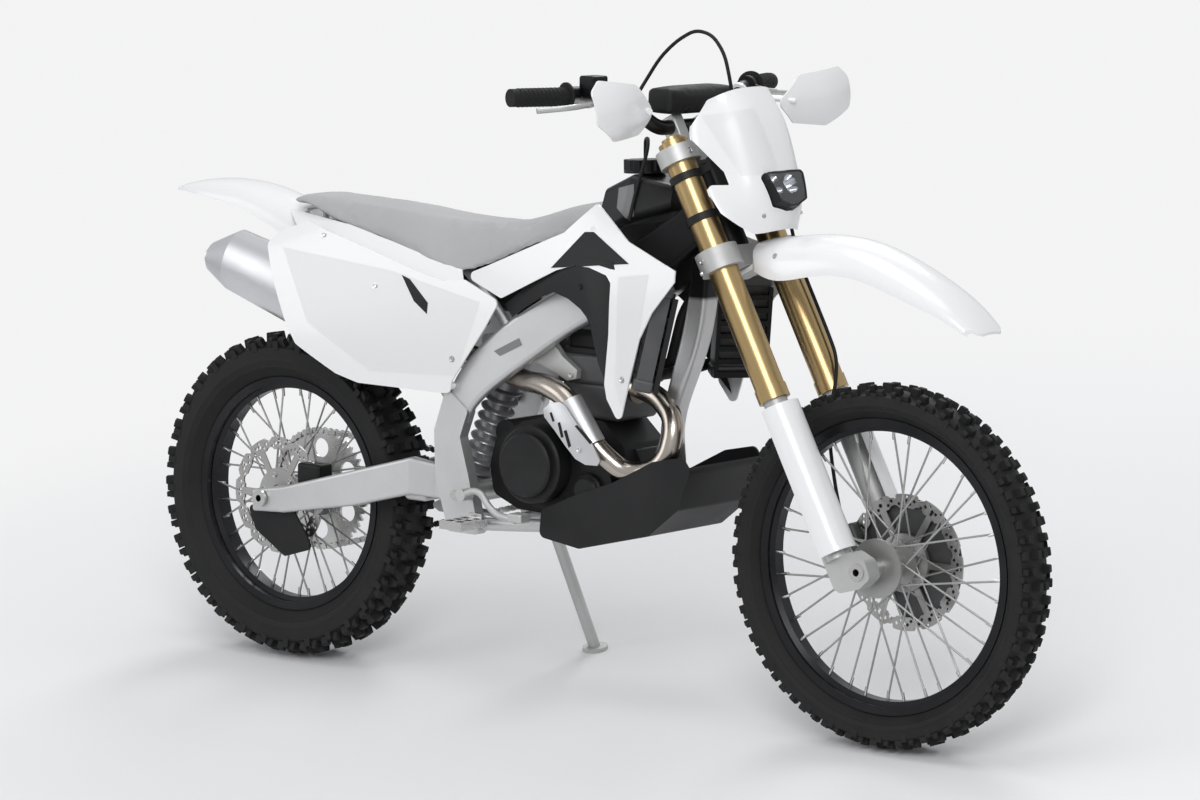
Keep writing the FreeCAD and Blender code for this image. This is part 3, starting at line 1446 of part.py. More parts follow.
def breather_hose():
    """The fuel cap's breather, looped over and down beside the tank."""
    return tube([vec(891, 0, 1073.1), vec(890.5, 0, 1094), vec(897, -8, 1112),
                 vec(914, -22, 1116), vec(926, -38, 1098), vec(928, -53, 1066),
                 vec(926, -68, 1030), vec(924, -79, 995), vec(922, -88, 962)],
                breather_diameter)


# Every node by name

PARTS = {
    "front_tyre": front_tyre, "front_rim": front_rim,
    "front_hub": front_wheel_centre, "front_disc": front_disc,
    "rear_tyre": rear_tyre, "rear_rim": rear_rim,
    "rear_hub": rear_wheel_centre, "rear_disc": rear_disc,
    "rear_sprocket": rear_sprocket,
    "frame_main": frame_main, "subframe": subframe, "swingarm": swingarm,
    "chassis_axles": chassis_axles, "chain": group(chain, front_sprocket),
    "engine_cases": engine_cases, "engine_covers": group(clutch_cover, ignition_cover),
    "cylinder": cylinder, "head_cover": head_cover, "throttle_body": throttle_body,
    "airbox": airbox, "coolant_hoses": coolant_hoses,
    "exhaust_header": exhaust_header, "exhaust_shield": exhaust_shield, "muffler": muffler,
    "seat": seat, "fuel_tank": group(fuel_tank, tank_cap),
    "side_panels": both(side_panel), "shrouds": both(shroud), "radiators": both(radiator),
    "louvres": both(louvre), "rear_fender": rear_fender, "skid_plate": skid_plate,
    "shock": shock, "foot_pegs": both(foot_peg),
    "foot_controls": group(brake_pedal, shift_lever),
    "rear_brake": group(rear_caliper, disc_guard_rear), "side_stand": side_stand,
    "lower_clamp": lower_clamp, "upper_clamp": upper_clamp, "fork_uppers": both(fork_upper),
    "fork_lowers": both(fork_lower), "fork_guards": both(fork_guard),
    "front_axle": front_axle_bar, "front_brake": group(front_caliper, front_disc_guard),
    "front_fender": front_fender, "headlight_mask": headlight_mask, "headlamp": headlamp,
    "mask_bracket": mask_bracket, "handlebar": handlebar, "bar_clamps": bar_clamps,
    "bar_pad": bar_pad, "grips": both(grip), "hand_levers": group(brake_lever, clutch_lever),
    "hand_guards": both(hand_guard), "brake_hose": brake_hose, "breather_hose": breather_hose,
}


def parked(shape):
    """Lean a shape to the left on to the side stand, treads on the ground."""
    leaned = shape.copy()
    leaned.rotate(vec(0, 0, 0), vec(1, 0, 0), -lean)
    leaned.translate(vec(0, 0, ground_lift()))
    return leaned


def build():
    """Make every piece, centre the parked machine on the ground and write it out."""
    os.makedirs("parts", exist_ok=True)
    shapes = {name: parked(make()) for name, make in PARTS.items()}
    box = Part.makeCompound(list(shapes.values())).optimalBoundingBox(False)
    middle = vec(-(box.XMin + box.XMax) / 2.0, -(box.YMin + box.YMax) / 2.0, 0)
    print("moved by", middle)
    for name, shape in shapes.items():
        if not shape.isValid():
            print("not valid:", name)
        shape.translate(middle)
        shape.exportStep("parts/%s.step" % name)


build()
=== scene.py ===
"""Looks of an off-road motorcycle that stands on its side stand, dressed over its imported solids."""

import logging
import math
from dataclasses import dataclass, field, replace
from enum import Enum

import bmesh
import bpy
from mathutils import Matrix, Vector
from mathutils.bvhtree import BVHTree

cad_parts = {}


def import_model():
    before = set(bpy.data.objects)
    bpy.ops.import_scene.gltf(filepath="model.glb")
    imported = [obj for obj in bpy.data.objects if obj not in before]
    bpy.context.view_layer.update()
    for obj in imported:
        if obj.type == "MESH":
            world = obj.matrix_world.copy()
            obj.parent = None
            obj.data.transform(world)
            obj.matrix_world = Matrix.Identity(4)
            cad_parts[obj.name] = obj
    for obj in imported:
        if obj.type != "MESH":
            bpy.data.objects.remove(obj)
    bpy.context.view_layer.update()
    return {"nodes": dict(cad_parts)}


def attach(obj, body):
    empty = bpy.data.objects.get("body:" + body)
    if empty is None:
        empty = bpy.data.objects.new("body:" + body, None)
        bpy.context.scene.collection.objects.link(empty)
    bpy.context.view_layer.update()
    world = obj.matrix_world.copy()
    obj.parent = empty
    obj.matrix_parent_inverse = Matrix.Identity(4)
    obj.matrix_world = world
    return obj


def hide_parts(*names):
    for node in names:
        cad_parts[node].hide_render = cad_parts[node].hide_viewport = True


log = logging.getLogger("motorcycle")

Mesh = bmesh.types.BMesh
Piece = bpy.types.Object
Outline = tuple[tuple[float, float], ...]
Found = tuple[Vector, Vector] | None

MM = 0.001
FULL_TURN = 2.0 * math.pi
LEAN = math.radians(10.5)
GROUND_LIFT = 2.6163 * MM
PARK_SHIFT = Vector((-745.6136, -219.9377, 0.0)) * MM
RAKE = math.radians(28.0)
FORK_FOOT = Vector((1427.02, 0.0, 316.83)) * MM
RIGHT, LEFT = Vector((0.0, -1.0, 0.0)), Vector((0.0, 1.0, 0.0))
PHOTO_SIZE = (1200.0, 800.0)
SENSOR_WIDTH = 36.0
SURROUND = (0.9, 0.9, 0.905, 1.0)
# Black for the levers' own black perch and for painted shade on the frame's head-tube end, and the
# width of its soft edge in metres
BLACK_AND_PAINTED_SHADE = (0.016, 0.016, 0.017, 1.0)
BLACK_AND_SHADE_EDGE = 0.004
WELD = 0.00001
FLUSH = 0.0001
# How squarely an overlay's faces look at the camera, and along their mean normal
EYE_FACING = -0.3
MEAN_FACING = 0.8


def park_matrix() -> Matrix:
    """Return the turn and shift from the upright machine to the parked one."""
    shift = PARK_SHIFT + Vector((0.0, 0.0, GROUND_LIFT))
    return Matrix.Translation(shift) @ Matrix.Rotation(-LEAN, 4, "X")


PARK = park_matrix()
UPRIGHT = PARK.inverted()
FORK = Matrix.Translation(FORK_FOOT) @ Matrix.Rotation(-RAKE, 4, "Y")


def mm(x: float, y: float, z: float) -> Vector:
    """Return a place of the upright machine, given in millimetres, in metres."""
    return Vector((x, y, z)) * MM


FRONT_AXLE, REAR_AXLE = mm(1480.0, 0.0, 345.0), mm(0.0, 0.0, 334.0)


# Materials


class Grain(Enum):
    """The fine surface of a finish."""

    MOULDED = "moulded"
    BRUSHED = "brushed"
    CAST = "cast"
    PEBBLED = "pebbled"
    KNURLED = "knurled"
    PLAIN = "plain"


def feed(tree: bpy.types.NodeTree, node: bpy.types.Node, inputs: dict[str | int, object]) -> None:
    """Set or link inputs of a shader node.

    Args:
        tree: The node's tree.
        node: The node.
        inputs: For each input a value, or the output that it is linked to.
    """
    for key, value in inputs.items():
        if isinstance(value, bpy.types.NodeSocket):
            tree.links.new(value, node.inputs[key])
        else:
            node.inputs[key].default_value = value


def add_node(tree: bpy.types.NodeTree, kind: str, inputs: dict[str | int, object] | None = None,
             **settings: object) -> bpy.types.bpy_prop_collection:
    """Add a shader node.

    Args:
        tree: The tree that gets it.
        kind: Its type, without the leading ShaderNode.
        inputs: For each input a value, or the output that it is linked to.
        settings: The node's own properties, which are set first.

    Returns:
        The node's outputs.
    """
    node = tree.nodes.new("ShaderNode" + kind)
    for key, value in settings.items():
        setattr(node, key, value)
    feed(tree, node, inputs or {})
    return node.outputs


def new_group(name: str, inputs: dict[str, float], outputs: tuple[str, ...]) -> bpy.types.NodeTree:
    """Make an empty shader node group.

    Args:
        name: The group's name.
        inputs: Value inputs with their defaults.
        outputs: The names of its value outputs.

    Returns:
        The group with its sockets and its two end nodes.
    """
    group = bpy.data.node_groups.new(name, "ShaderNodeTree")
    group.interface.new_socket("Vector", in_out="INPUT", socket_type="NodeSocketVector")
    for label, value in inputs.items():
        socket = group.interface.new_socket(label, in_out="INPUT", socket_type="NodeSocketFloat")
        socket.default_value = value
    for label in outputs:
        group.interface.new_socket(label, in_out="OUTPUT", socket_type="NodeSocketFloat")
    group.nodes.new("NodeGroupInput").name = "In"
    group.nodes.new("NodeGroupOutput").name = "Out"
    return group


def mottle_group() -> bpy.types.NodeTree:
    """Return the shared group for handling marks: a mask for colour and one for roughness."""
    group = bpy.data.node_groups.get("handling_marks")
    if group:
        return group
    group = new_group("handling_marks", {"Scale": 9.0, "Fine": 140.0}, ("Tone", "Sheen"))
    source = group.nodes["In"].outputs
    wide = add_node(group, "TexNoise", {"Detail": 5.0, "Vector": source["Vector"],
                                        "Scale": source["Scale"]})
    fine = add_node(group, "TexNoise", {"Detail": 3.0, "Vector": source["Vector"],
                                        "Scale": source["Fine"]})
    tone = add_node(group, "MapRange", {"From Min": 0.3, "From Max": 0.75, "Value": wide["Fac"]})
    sheen = add_node(group, "Math", {0: fine["Fac"], 1: 0.45, 2: tone["Result"]},
                     operation="MULTIPLY_ADD")
    feed(group, group.nodes["Out"], {"Tone": tone["Result"], "Sheen": sheen["Value"]})
    return group


def grain_group(grain: Grain) -> bpy.types.NodeTree:
    """Return the shared group that gives a grain's height.

    Args:
        grain: Which fine surface.

    Returns:
        A group with a Height output.
    """
    name = "grain_" + grain.value
    group = bpy.data.node_groups.get(name)
    if group:
        return group
    group = new_group(name, {"Scale": 400.0}, ("Height",))
    source = group.nodes["In"].outputs
    vector = source["Vector"]
    if grain is Grain.BRUSHED:
        vector = add_node(group, "VectorMath", {0: vector, 1: (0.035, 1.0, 1.0)},
                          operation="MULTIPLY")["Vector"]
    inputs = {"Vector": vector, "Scale": source["Scale"]}
    if grain is Grain.KNURLED:
        height = add_node(group, "TexVoronoi", inputs, distance="CHEBYCHEV")["Distance"]
    elif grain is Grain.PEBBLED:
        height = add_node(group, "TexVoronoi", inputs, feature="SMOOTH_F1")["Distance"]
    else:
        inputs |= {"Detail": 6.0 if grain is Grain.CAST else 2.5, "Roughness": 0.62}
        height = add_node(group, "TexNoise", inputs)["Fac"]
    feed(group, group.nodes["Out"], {"Height": height})
    return group


@dataclass(frozen=True)
class Finish:
    """One finish of the machine, built as a node material when it is first asked for."""

    name: str
    colour: tuple[float, float, float]
    worn: tuple[float, float, float]
    roughness: tuple[float, float] = (0.3, 0.45)
    metallic: float = 0.0
    coat: float = 0.0
    grain: Grain = Grain.MOULDED
    grain_scale: float = 500.0
    bump: float = 0.08
    marks: float = 9.0
    turn: tuple[float, float, float] = (0.0, 0.0, 0.0)
    glass: bool = False
    # Where the finish turns black, along x and z of the upright machine in metres: painted shade on
    # the frame, the perch's own black on the levers
    dark_from: tuple[float, float] | None = None
    specular: float = 0.5

    def darken(self, tree: bpy.types.NodeTree, bare: bpy.types.NodeSocket) -> bpy.types.NodeSocket:
        """Make what lies ahead of and above a place of the upright machine black: painted shade on
        the frame, the perch's own black on the levers.

        Args:
            tree: The material's nodes.
            bare: The bare metal's colour.

        Returns:
            The colour, black ahead of and above the place.
        """
        place = add_node(tree, "TexCoord")["Object"]
        upright = add_node(tree, "Mapping", {
            "Location": UPRIGHT.translation, "Rotation": UPRIGHT.to_euler(), "Vector": place})
        split = add_node(tree, "SeparateXYZ", {"Vector": upright["Vector"]})
        steps = [add_node(tree, "MapRange", {
            "From Min": start - BLACK_AND_SHADE_EDGE, "From Max": start + BLACK_AND_SHADE_EDGE,
            "Value": split[axis]})["Result"] for axis, start in zip("XZ", self.dark_from)]
        both = add_node(tree, "Math", dict(enumerate(steps)), operation="MULTIPLY")
        return add_node(tree, "Mix", {"B": BLACK_AND_PAINTED_SHADE, "Factor": both["Value"], "A": bare},
                        data_type="RGBA")["Result"]

    def material(self) -> bpy.types.Material:
        """Return the finish's material."""
        found = bpy.data.materials.get(self.name)
        if found:
            return found
        material = bpy.data.materials.new(self.name)
        material.use_nodes = True
        tree = material.node_tree
        place = add_node(tree, "TexCoord")["Object"]
        vector = add_node(tree, "Mapping", {"Rotation": self.turn, "Vector": place})["Vector"]
        marks = add_node(tree, "Group", {"Scale": self.marks, "Fine": self.marks * 16.0,
                                         "Vector": vector}, node_tree=mottle_group())
        colour = add_node(tree, "Mix", {
            "A": (*self.colour, 1.0), "B": (*self.worn, 1.0), "Factor": marks["Tone"]},
            data_type="RGBA")["Result"]
        rough = add_node(tree, "MapRange", {
            "To Min": self.roughness[0], "To Max": self.roughness[1], "From Max": 1.3,
            "Value": marks["Sheen"]})
        inputs = {"Metallic": self.metallic, "Coat Weight": self.coat, "Coat Roughness": 0.06,
                  "Specular IOR Level": self.specular, "Roughness": rough["Result"],
                  "Base Color": self.darken(tree, colour) if self.dark_from else colour}
        if self.glass:
            inputs |= {"Transmission Weight": 1.0, "IOR": 1.46}
        if self.grain is not Grain.PLAIN:
            grain = add_node(tree, "Group", {"Scale": self.grain_scale, "Vector": vector},
                             node_tree=grain_group(self.grain))
            inputs |= {"Normal": add_node(tree, "Bump", {
                "Strength": self.bump, "Distance": 0.001, "Height": grain["Height"]})["Normal"]}
        feed(tree, tree.nodes["Principled BSDF"], inputs)
        return material


WHITE = Finish("white_moulded_plastic", (0.86, 0.86, 0.865), (0.85, 0.851, 0.857), (0.2, 0.25),
               coat=0.3, grain_scale=900.0, bump=0.012, marks=3.0)
GREY = Finish("grey_moulded_plastic", (0.2, 0.2, 0.205), (0.17, 0.17, 0.175), (0.3, 0.4),
              grain_scale=800.0, bump=0.04)
SEAT = Finish("seat_cover_vinyl", (0.44, 0.44, 0.445), (0.40, 0.40, 0.41), (0.55, 0.7),
              grain=Grain.PEBBLED, grain_scale=620.0, bump=0.35, marks=7.0)
BLACK = Finish("black_moulded_plastic", (0.008, 0.008, 0.0085), (0.015, 0.015, 0.0155),
               (0.38, 0.55), grain=Grain.PEBBLED, grain_scale=800.0, bump=0.12, specular=0.25)
TANK = Finish("black_tank_plastic", (0.007, 0.007, 0.0075), (0.013, 0.013, 0.0135), (0.28, 0.42),
              grain_scale=700.0, bump=0.05, specular=0.25)
TYRE = Finish("tyre_rubber", (0.009, 0.009, 0.0093), (0.019, 0.0185, 0.018), (0.55, 0.78),
              grain=Grain.CAST, grain_scale=260.0, bump=0.25, marks=16.0, specular=0.25)
RUBBER = Finish("black_rubber", (0.008, 0.008, 0.008), (0.014, 0.014, 0.014), (0.5, 0.65),
                grain=Grain.CAST, grain_scale=600.0, bump=0.12, specular=0.25)
GRIP = Finish("grip_rubber", (0.008, 0.008, 0.008), (0.014, 0.014, 0.014), (0.6, 0.75),
              grain=Grain.KNURLED, grain_scale=260.0, bump=0.9, specular=0.25)
RIM = Finish("black_anodised_rim", (0.012, 0.012, 0.013), (0.024, 0.024, 0.026), (0.25, 0.38),
             metallic=0.7, grain_scale=700.0, bump=0.04)
ALLOY = Finish("satin_alloy", (0.60, 0.60, 0.60), (0.51, 0.51, 0.51), (0.36, 0.5),
               metallic=0.75, grain=Grain.BRUSHED, grain_scale=900.0, bump=0.12, marks=6.0)
# The frame's satin alloy, black ahead of and above its head-tube end as painted shade
FRAME = replace(ALLOY, name="satin_frame_alloy", dark_from=(0.896, 0.815))
LEVER = Finish("lever_alloy", (0.56, 0.56, 0.55), (0.45, 0.45, 0.44), (0.3, 0.42),
               metallic=0.8, grain=Grain.CAST, bump=0.1,
               dark_from=(0.0, 1.2025))
FIELD = Finish("bare_plate_field", (0.78, 0.78, 0.785), (0.77, 0.77, 0.775), (0.28, 0.33),
               grain_scale=900.0, bump=0.012, marks=3.0)
CAST = Finish("cast_alloy", (0.56, 0.56, 0.55), (0.45, 0.45, 0.44), (0.42, 0.6),
              metallic=0.7, grain=Grain.CAST, bump=0.22)
HUB = Finish("machined_hub_alloy", (0.42, 0.42, 0.41), (0.31, 0.31, 0.30), (0.34, 0.5),
             metallic=0.8, grain=Grain.CAST, grain_scale=600.0, bump=0.12)
STEEL = Finish("bright_steel", (0.62, 0.61, 0.6), (0.5, 0.49, 0.48), (0.2, 0.34),
               metallic=1.0, grain=Grain.BRUSHED, grain_scale=800.0, bump=0.08)
DISC = Finish("ground_disc_steel", (0.46, 0.45, 0.44), (0.34, 0.33, 0.32), (0.26, 0.4),
              metallic=1.0, grain=Grain.BRUSHED, grain_scale=700.0, bump=0.12,
              turn=(0.0, 0.9, 0.0))
GOLD = Finish("gold_anodised_alloy", (0.47, 0.34, 0.165), (0.43, 0.305, 0.145), (0.27, 0.29),
              metallic=0.95, grain=Grain.BRUSHED, grain_scale=900.0, bump=0.01, marks=2.0,
              turn=(0.0, -1.08, 0.0))
ENGINE = Finish("black_engine_castings", (0.011, 0.011, 0.0115), (0.022, 0.022, 0.0225),
                (0.4, 0.55), metallic=0.3, grain=Grain.CAST, grain_scale=450.0, bump=0.3,
                specular=0.25)
HEAD = Finish("grey_engine_castings", (0.1, 0.1, 0.102), (0.065, 0.065, 0.067), (0.42, 0.6),
              metallic=0.5, grain=Grain.CAST, grain_scale=420.0, bump=0.35)
TITANIUM = Finish("header_titanium", (0.47, 0.43, 0.385), (0.38, 0.335, 0.29), (0.16, 0.3),
                  metallic=1.0, grain=Grain.BRUSHED, bump=0.05, marks=11.0)
MUFFLER = Finish("brushed_muffler_alloy", (0.66, 0.66, 0.67), (0.55, 0.55, 0.56), (0.3, 0.44),
                 metallic=0.9, grain=Grain.BRUSHED, grain_scale=1200.0, bump=0.14, marks=5.0)
BARS = Finish("black_bar_anodising", (0.014, 0.014, 0.015), (0.026, 0.026, 0.027), (0.26, 0.4),
              metallic=0.6, grain_scale=700.0, bump=0.04)
LENS = Finish("lamp_lens", (0.93, 0.95, 0.97), (0.9, 0.92, 0.95), (0.02, 0.05),
              grain=Grain.PLAIN, glass=True)
CHROME = Finish("lamp_reflector", (0.78, 0.78, 0.8), (0.7, 0.7, 0.72), (0.06, 0.12),
                metallic=1.0, grain=Grain.PLAIN)
SPRING = Finish("shock_spring_paint", (0.30, 0.30, 0.31), (0.22, 0.22, 0.23), (0.3, 0.42),
                metallic=0.4, bump=0.06)

NODE_FINISHES: dict[str, Finish] = {name: finish for finish, names in (
    (RIM, "front_rim rear_rim"),
    (HUB, "front_hub rear_hub"),
    (DISC, "front_disc rear_disc"),
    (STEEL, "rear_sprocket chassis_axles chain foot_pegs front_axle"),
    (FRAME, "frame_main"),
    (ALLOY, "subframe swingarm"),
    (ENGINE, "engine_cases engine_covers head_cover rear_brake"),
    (HEAD, "cylinder radiators front_brake"),
    (RUBBER, "throttle_body coolant_hoses brake_hose breather_hose"),
    (BLACK, "airbox louvres skid_plate mask_bracket bar_pad"),
    (TITANIUM, "exhaust_header"),
    (MUFFLER, "exhaust_shield muffler"),
    (TANK, "fuel_tank"),
    (WHITE, "side_panels shrouds rear_fender fork_guards front_fender headlight_mask hand_guards"),
    (SPRING, "shock"),
    (CAST, "foot_controls side_stand lower_clamp upper_clamp fork_lowers bar_clamps"),
    (GOLD, "fork_uppers"),
    (LENS, "headlamp"),
    (BARS, "handlebar"),
    (GRIP, "grips"),
    (LEVER, "hand_levers"),
    (SEAT, "seat"),
    (TYRE, "front_tyre rear_tyre")) for name in names.split()}


# Making meshes


def link_object(name: str, data: bpy.types.ID) -> Piece:
    """Return a new object of the scene that shows the given data."""
    piece = bpy.data.objects.new(name, data)
    bpy.context.scene.collection.objects.link(piece)
    return piece


def object_from(bm: Mesh, name: str) -> Piece:
    """Turn a bmesh into an object of the scene.

    Args:
        bm: The mesh, which is freed.
        name: The object's name.

    Returns:
        The object.
    """
    mesh = bpy.data.meshes.new(name)
    bm.to_mesh(mesh)
    bm.free()
    return link_object(name, mesh)


def solid_mesh(node: Piece, weld: float = WELD) -> Mesh:
    """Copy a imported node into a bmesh.

    Args:
        node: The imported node.
        weld: Corners nearer to each other than this are joined.

    Returns:
        The bmesh of the parked machine.
    """
    bm = bmesh.new()
    bm.from_mesh(node.data)
    bmesh.ops.remove_doubles(bm, verts=bm.verts[:], dist=weld)
    return bm


def piece_from(bm: Mesh, name: str, finish: Finish, body: str, place: Matrix = PARK,
               smooth: float = 35.0) -> Piece:
    """Turn a bmesh of the upright machine into a finished piece.

    Args:
        bm: The mesh, which is freed.
        name: The piece's name.
        finish: Its finish.
        body: The body it rides on.
        place: Where the mesh goes, the parked machine unless given.
        smooth: Edges sharper than this angle, in degrees, stay sharp.

    Returns:
        The piece, with its object at the origin.
    """
    bm.transform(place)
    limit = math.radians(smooth)
    for face in bm.faces:
        face.smooth = True
    for edge in bm.edges:
        edge.smooth = edge.is_manifold and edge.calc_face_angle(math.pi) < limit
    piece = object_from(bm, name)
    piece.data.materials.append(finish.material())
    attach(piece, body)
    log.info("%s: %d faces", name, len(piece.data.polygons))
    return piece


def bake(piece: Piece) -> None:
    """Turn a piece's modifiers into its mesh.

    Args:
        piece: The piece.
    """
    graph = bpy.context.evaluated_depsgraph_get()
    baked = bpy.data.meshes.new_from_object(piece.evaluated_get(graph))
    piece.modifiers.clear()
    piece.data = baked


def turned_ring(bm: Mesh, outline: Outline, centre: Vector, axis: Vector, steps: int) -> None:
    """Spin a closed outline of places along and out from an axis into a ring.

    Args:
        bm: The mesh that gets the ring.
        outline: Pairs of distance along the axis and radius, in millimetres.
        centre: A point of the axis.
        axis: Its direction.
        steps: How many steps a full turn has.
    """
    axis = axis.normalized()
    out = axis.orthogonal().normalized()
    verts = [bm.verts.new(centre + (axis * along + out * radius) * MM) for along, radius in outline]
    edges = [bm.edges.new(pair) for pair in zip(verts, verts[1:] + verts[:1])]
    bmesh.ops.spin(bm, geom=verts + edges, cent=centre, axis=axis, angle=FULL_TURN,
                   steps=steps, use_merge=True)
    bmesh.ops.remove_doubles(bm, verts=bm.verts[:], dist=WELD)
    bmesh.ops.recalc_face_normals(bm, faces=bm.faces[:])


def repeat_round(bm: Mesh, centre: Vector, count: int) -> None:
    """Repeat a whole mesh evenly round an axle.

    Args:
        bm: The mesh.
        centre: A point of the axle.
        count: How many there are in the end.
    """
    bmesh.ops.spin(bm, geom=bm.verts[:] + bm.edges[:] + bm.faces[:], cent=centre, axis=LEFT,
                   angle=FULL_TURN * (1.0 - 1.0 / count), steps=count - 1, use_duplicate=True)


def rod(bm: Mesh, place: Matrix, radii: tuple[float, float], depth: float,
        segments: int) -> list[bmesh.types.BMVert]:
    """Add a rod or a blunt cone.

    Args:
        bm: The mesh that gets it.
        place: Where its middle goes; its own Z runs along it.
        radii: Its radii at the low and the high end, in millimetres.
        depth: Its length in millimetres.
        segments: How many sides it has.

    Returns:
        Its corners.
    """
    return bmesh.ops.create_cone(bm, cap_ends=True, segments=segments, radius1=radii[0] * MM,
                                 radius2=radii[1] * MM, depth=depth * MM, matrix=place)["verts"]


def block(bm: Mesh, size: tuple[float, float, float], place: Matrix, taper: float = 1.0,
          bevel: float = 0.0) -> None:
    """Add a block with a narrower top and bevelled edges.

    Args:
        bm: The mesh that gets it.
        size: Its sides in millimetres.
        place: Where it goes; its own Z is up.
        taper: The top's share of the foot's sides.
        bevel: The width of the bevel in millimetres.
    """
    before = set(bm.verts)
    for vert in bmesh.ops.create_cube(bm, size=1.0)["verts"]:
        share = taper if vert.co.z > 0.0 else 1.0
        vert.co = Vector((vert.co.x * size[0] * share, vert.co.y * size[1] * share,
                          vert.co.z * size[2])) * MM
    fresh = [vert for vert in bm.verts if vert not in before]
    if bevel > 0.0:
        edges = list({edge for vert in fresh for edge in vert.link_edges})
        bmesh.ops.bevel(bm, geom=edges, offset=bevel * MM, offset_type="OFFSET",
                        segments=1, profile=0.5, affect="EDGES", material=-1)
        fresh = [vert for vert in bm.verts if vert not in before]
    bmesh.ops.transform(bm, matrix=place, verts=fresh)


def verts_of(geom: list[object]) -> list[bmesh.types.BMVert]:
    """Return the corners among some elements of a mesh."""
    return [item for item in geom if isinstance(item, bmesh.types.BMVert)]


def thicken(bm: Mesh, faces: list[bmesh.types.BMFace], way: Vector) -> None:
    """Make a plate of some faces of a sheet.

    Args:
        bm: The mesh.
        faces: The faces, which stay where they are.
        way: Where the plate's other side lies from them.
    """
    made = bmesh.ops.extrude_face_region(bm, geom=faces, use_keep_orig=True)["geom"]
    bmesh.ops.translate(bm, vec=way, verts=verts_of(made))
    bmesh.ops.recalc_face_normals(bm, faces=bm.faces[:])


def add_twin(bm: Mesh) -> None:
    """Add the mirror image on the machine's other side, with its faces outwards.

    Args:
        bm: The mesh of the upright machine.
    """
    twin = bmesh.ops.duplicate(bm, geom=bm.verts[:] + bm.edges[:] + bm.faces[:])["geom"]
    bmesh.ops.scale(bm, vec=(1.0, -1.0, 1.0), verts=verts_of(twin))
    bmesh.ops.reverse_faces(bm, faces=[item for item in twin
                                       if isinstance(item, bmesh.types.BMFace)])


def bolt(bm: Mesh, place: Vector, normal: Vector, radius: float, height: float,
         flange: float = 1.3) -> None:
    """Add a flanged button-head bolt with a socket.

    Args:
        bm: The mesh that gets it.
        place: The middle of its seat.
        normal: Which way its head looks.
        radius: The head's radius in millimetres.
        height: The head's height in millimetres.
        flange: The flange's radius as a share of the head's.
    """
    before = set(bm.verts)
    made = rod(bm, Matrix(), (radius, radius * 0.86), height, 12)
    top = max((face for vert in made for face in vert.link_faces if len(face.verts) == 12),
              key=lambda face: face.calc_center_median().z)
    for inset in (0.12, 0.26):
        bmesh.ops.inset_individual(bm, faces=[top], thickness=radius * inset * MM)
    for vert in top.verts:
        vert.co.z -= height * 0.55 * MM
    sink = Matrix.Translation((0, 0, -height * 0.42 * MM))
    rod(bm, sink, (radius * flange, radius * flange * 0.94), height * 0.3, 16)
    fresh = [vert for vert in bm.verts if vert not in before]
    lift = Matrix.Translation(normal.normalized() * height * 0.42 * MM)
    turn = normal.to_track_quat("Z", "Y").to_matrix().to_4x4()
    bmesh.ops.transform(bm, matrix=lift @ (Matrix.Translation(place) @ turn), verts=fresh)


# The camera and what it sees


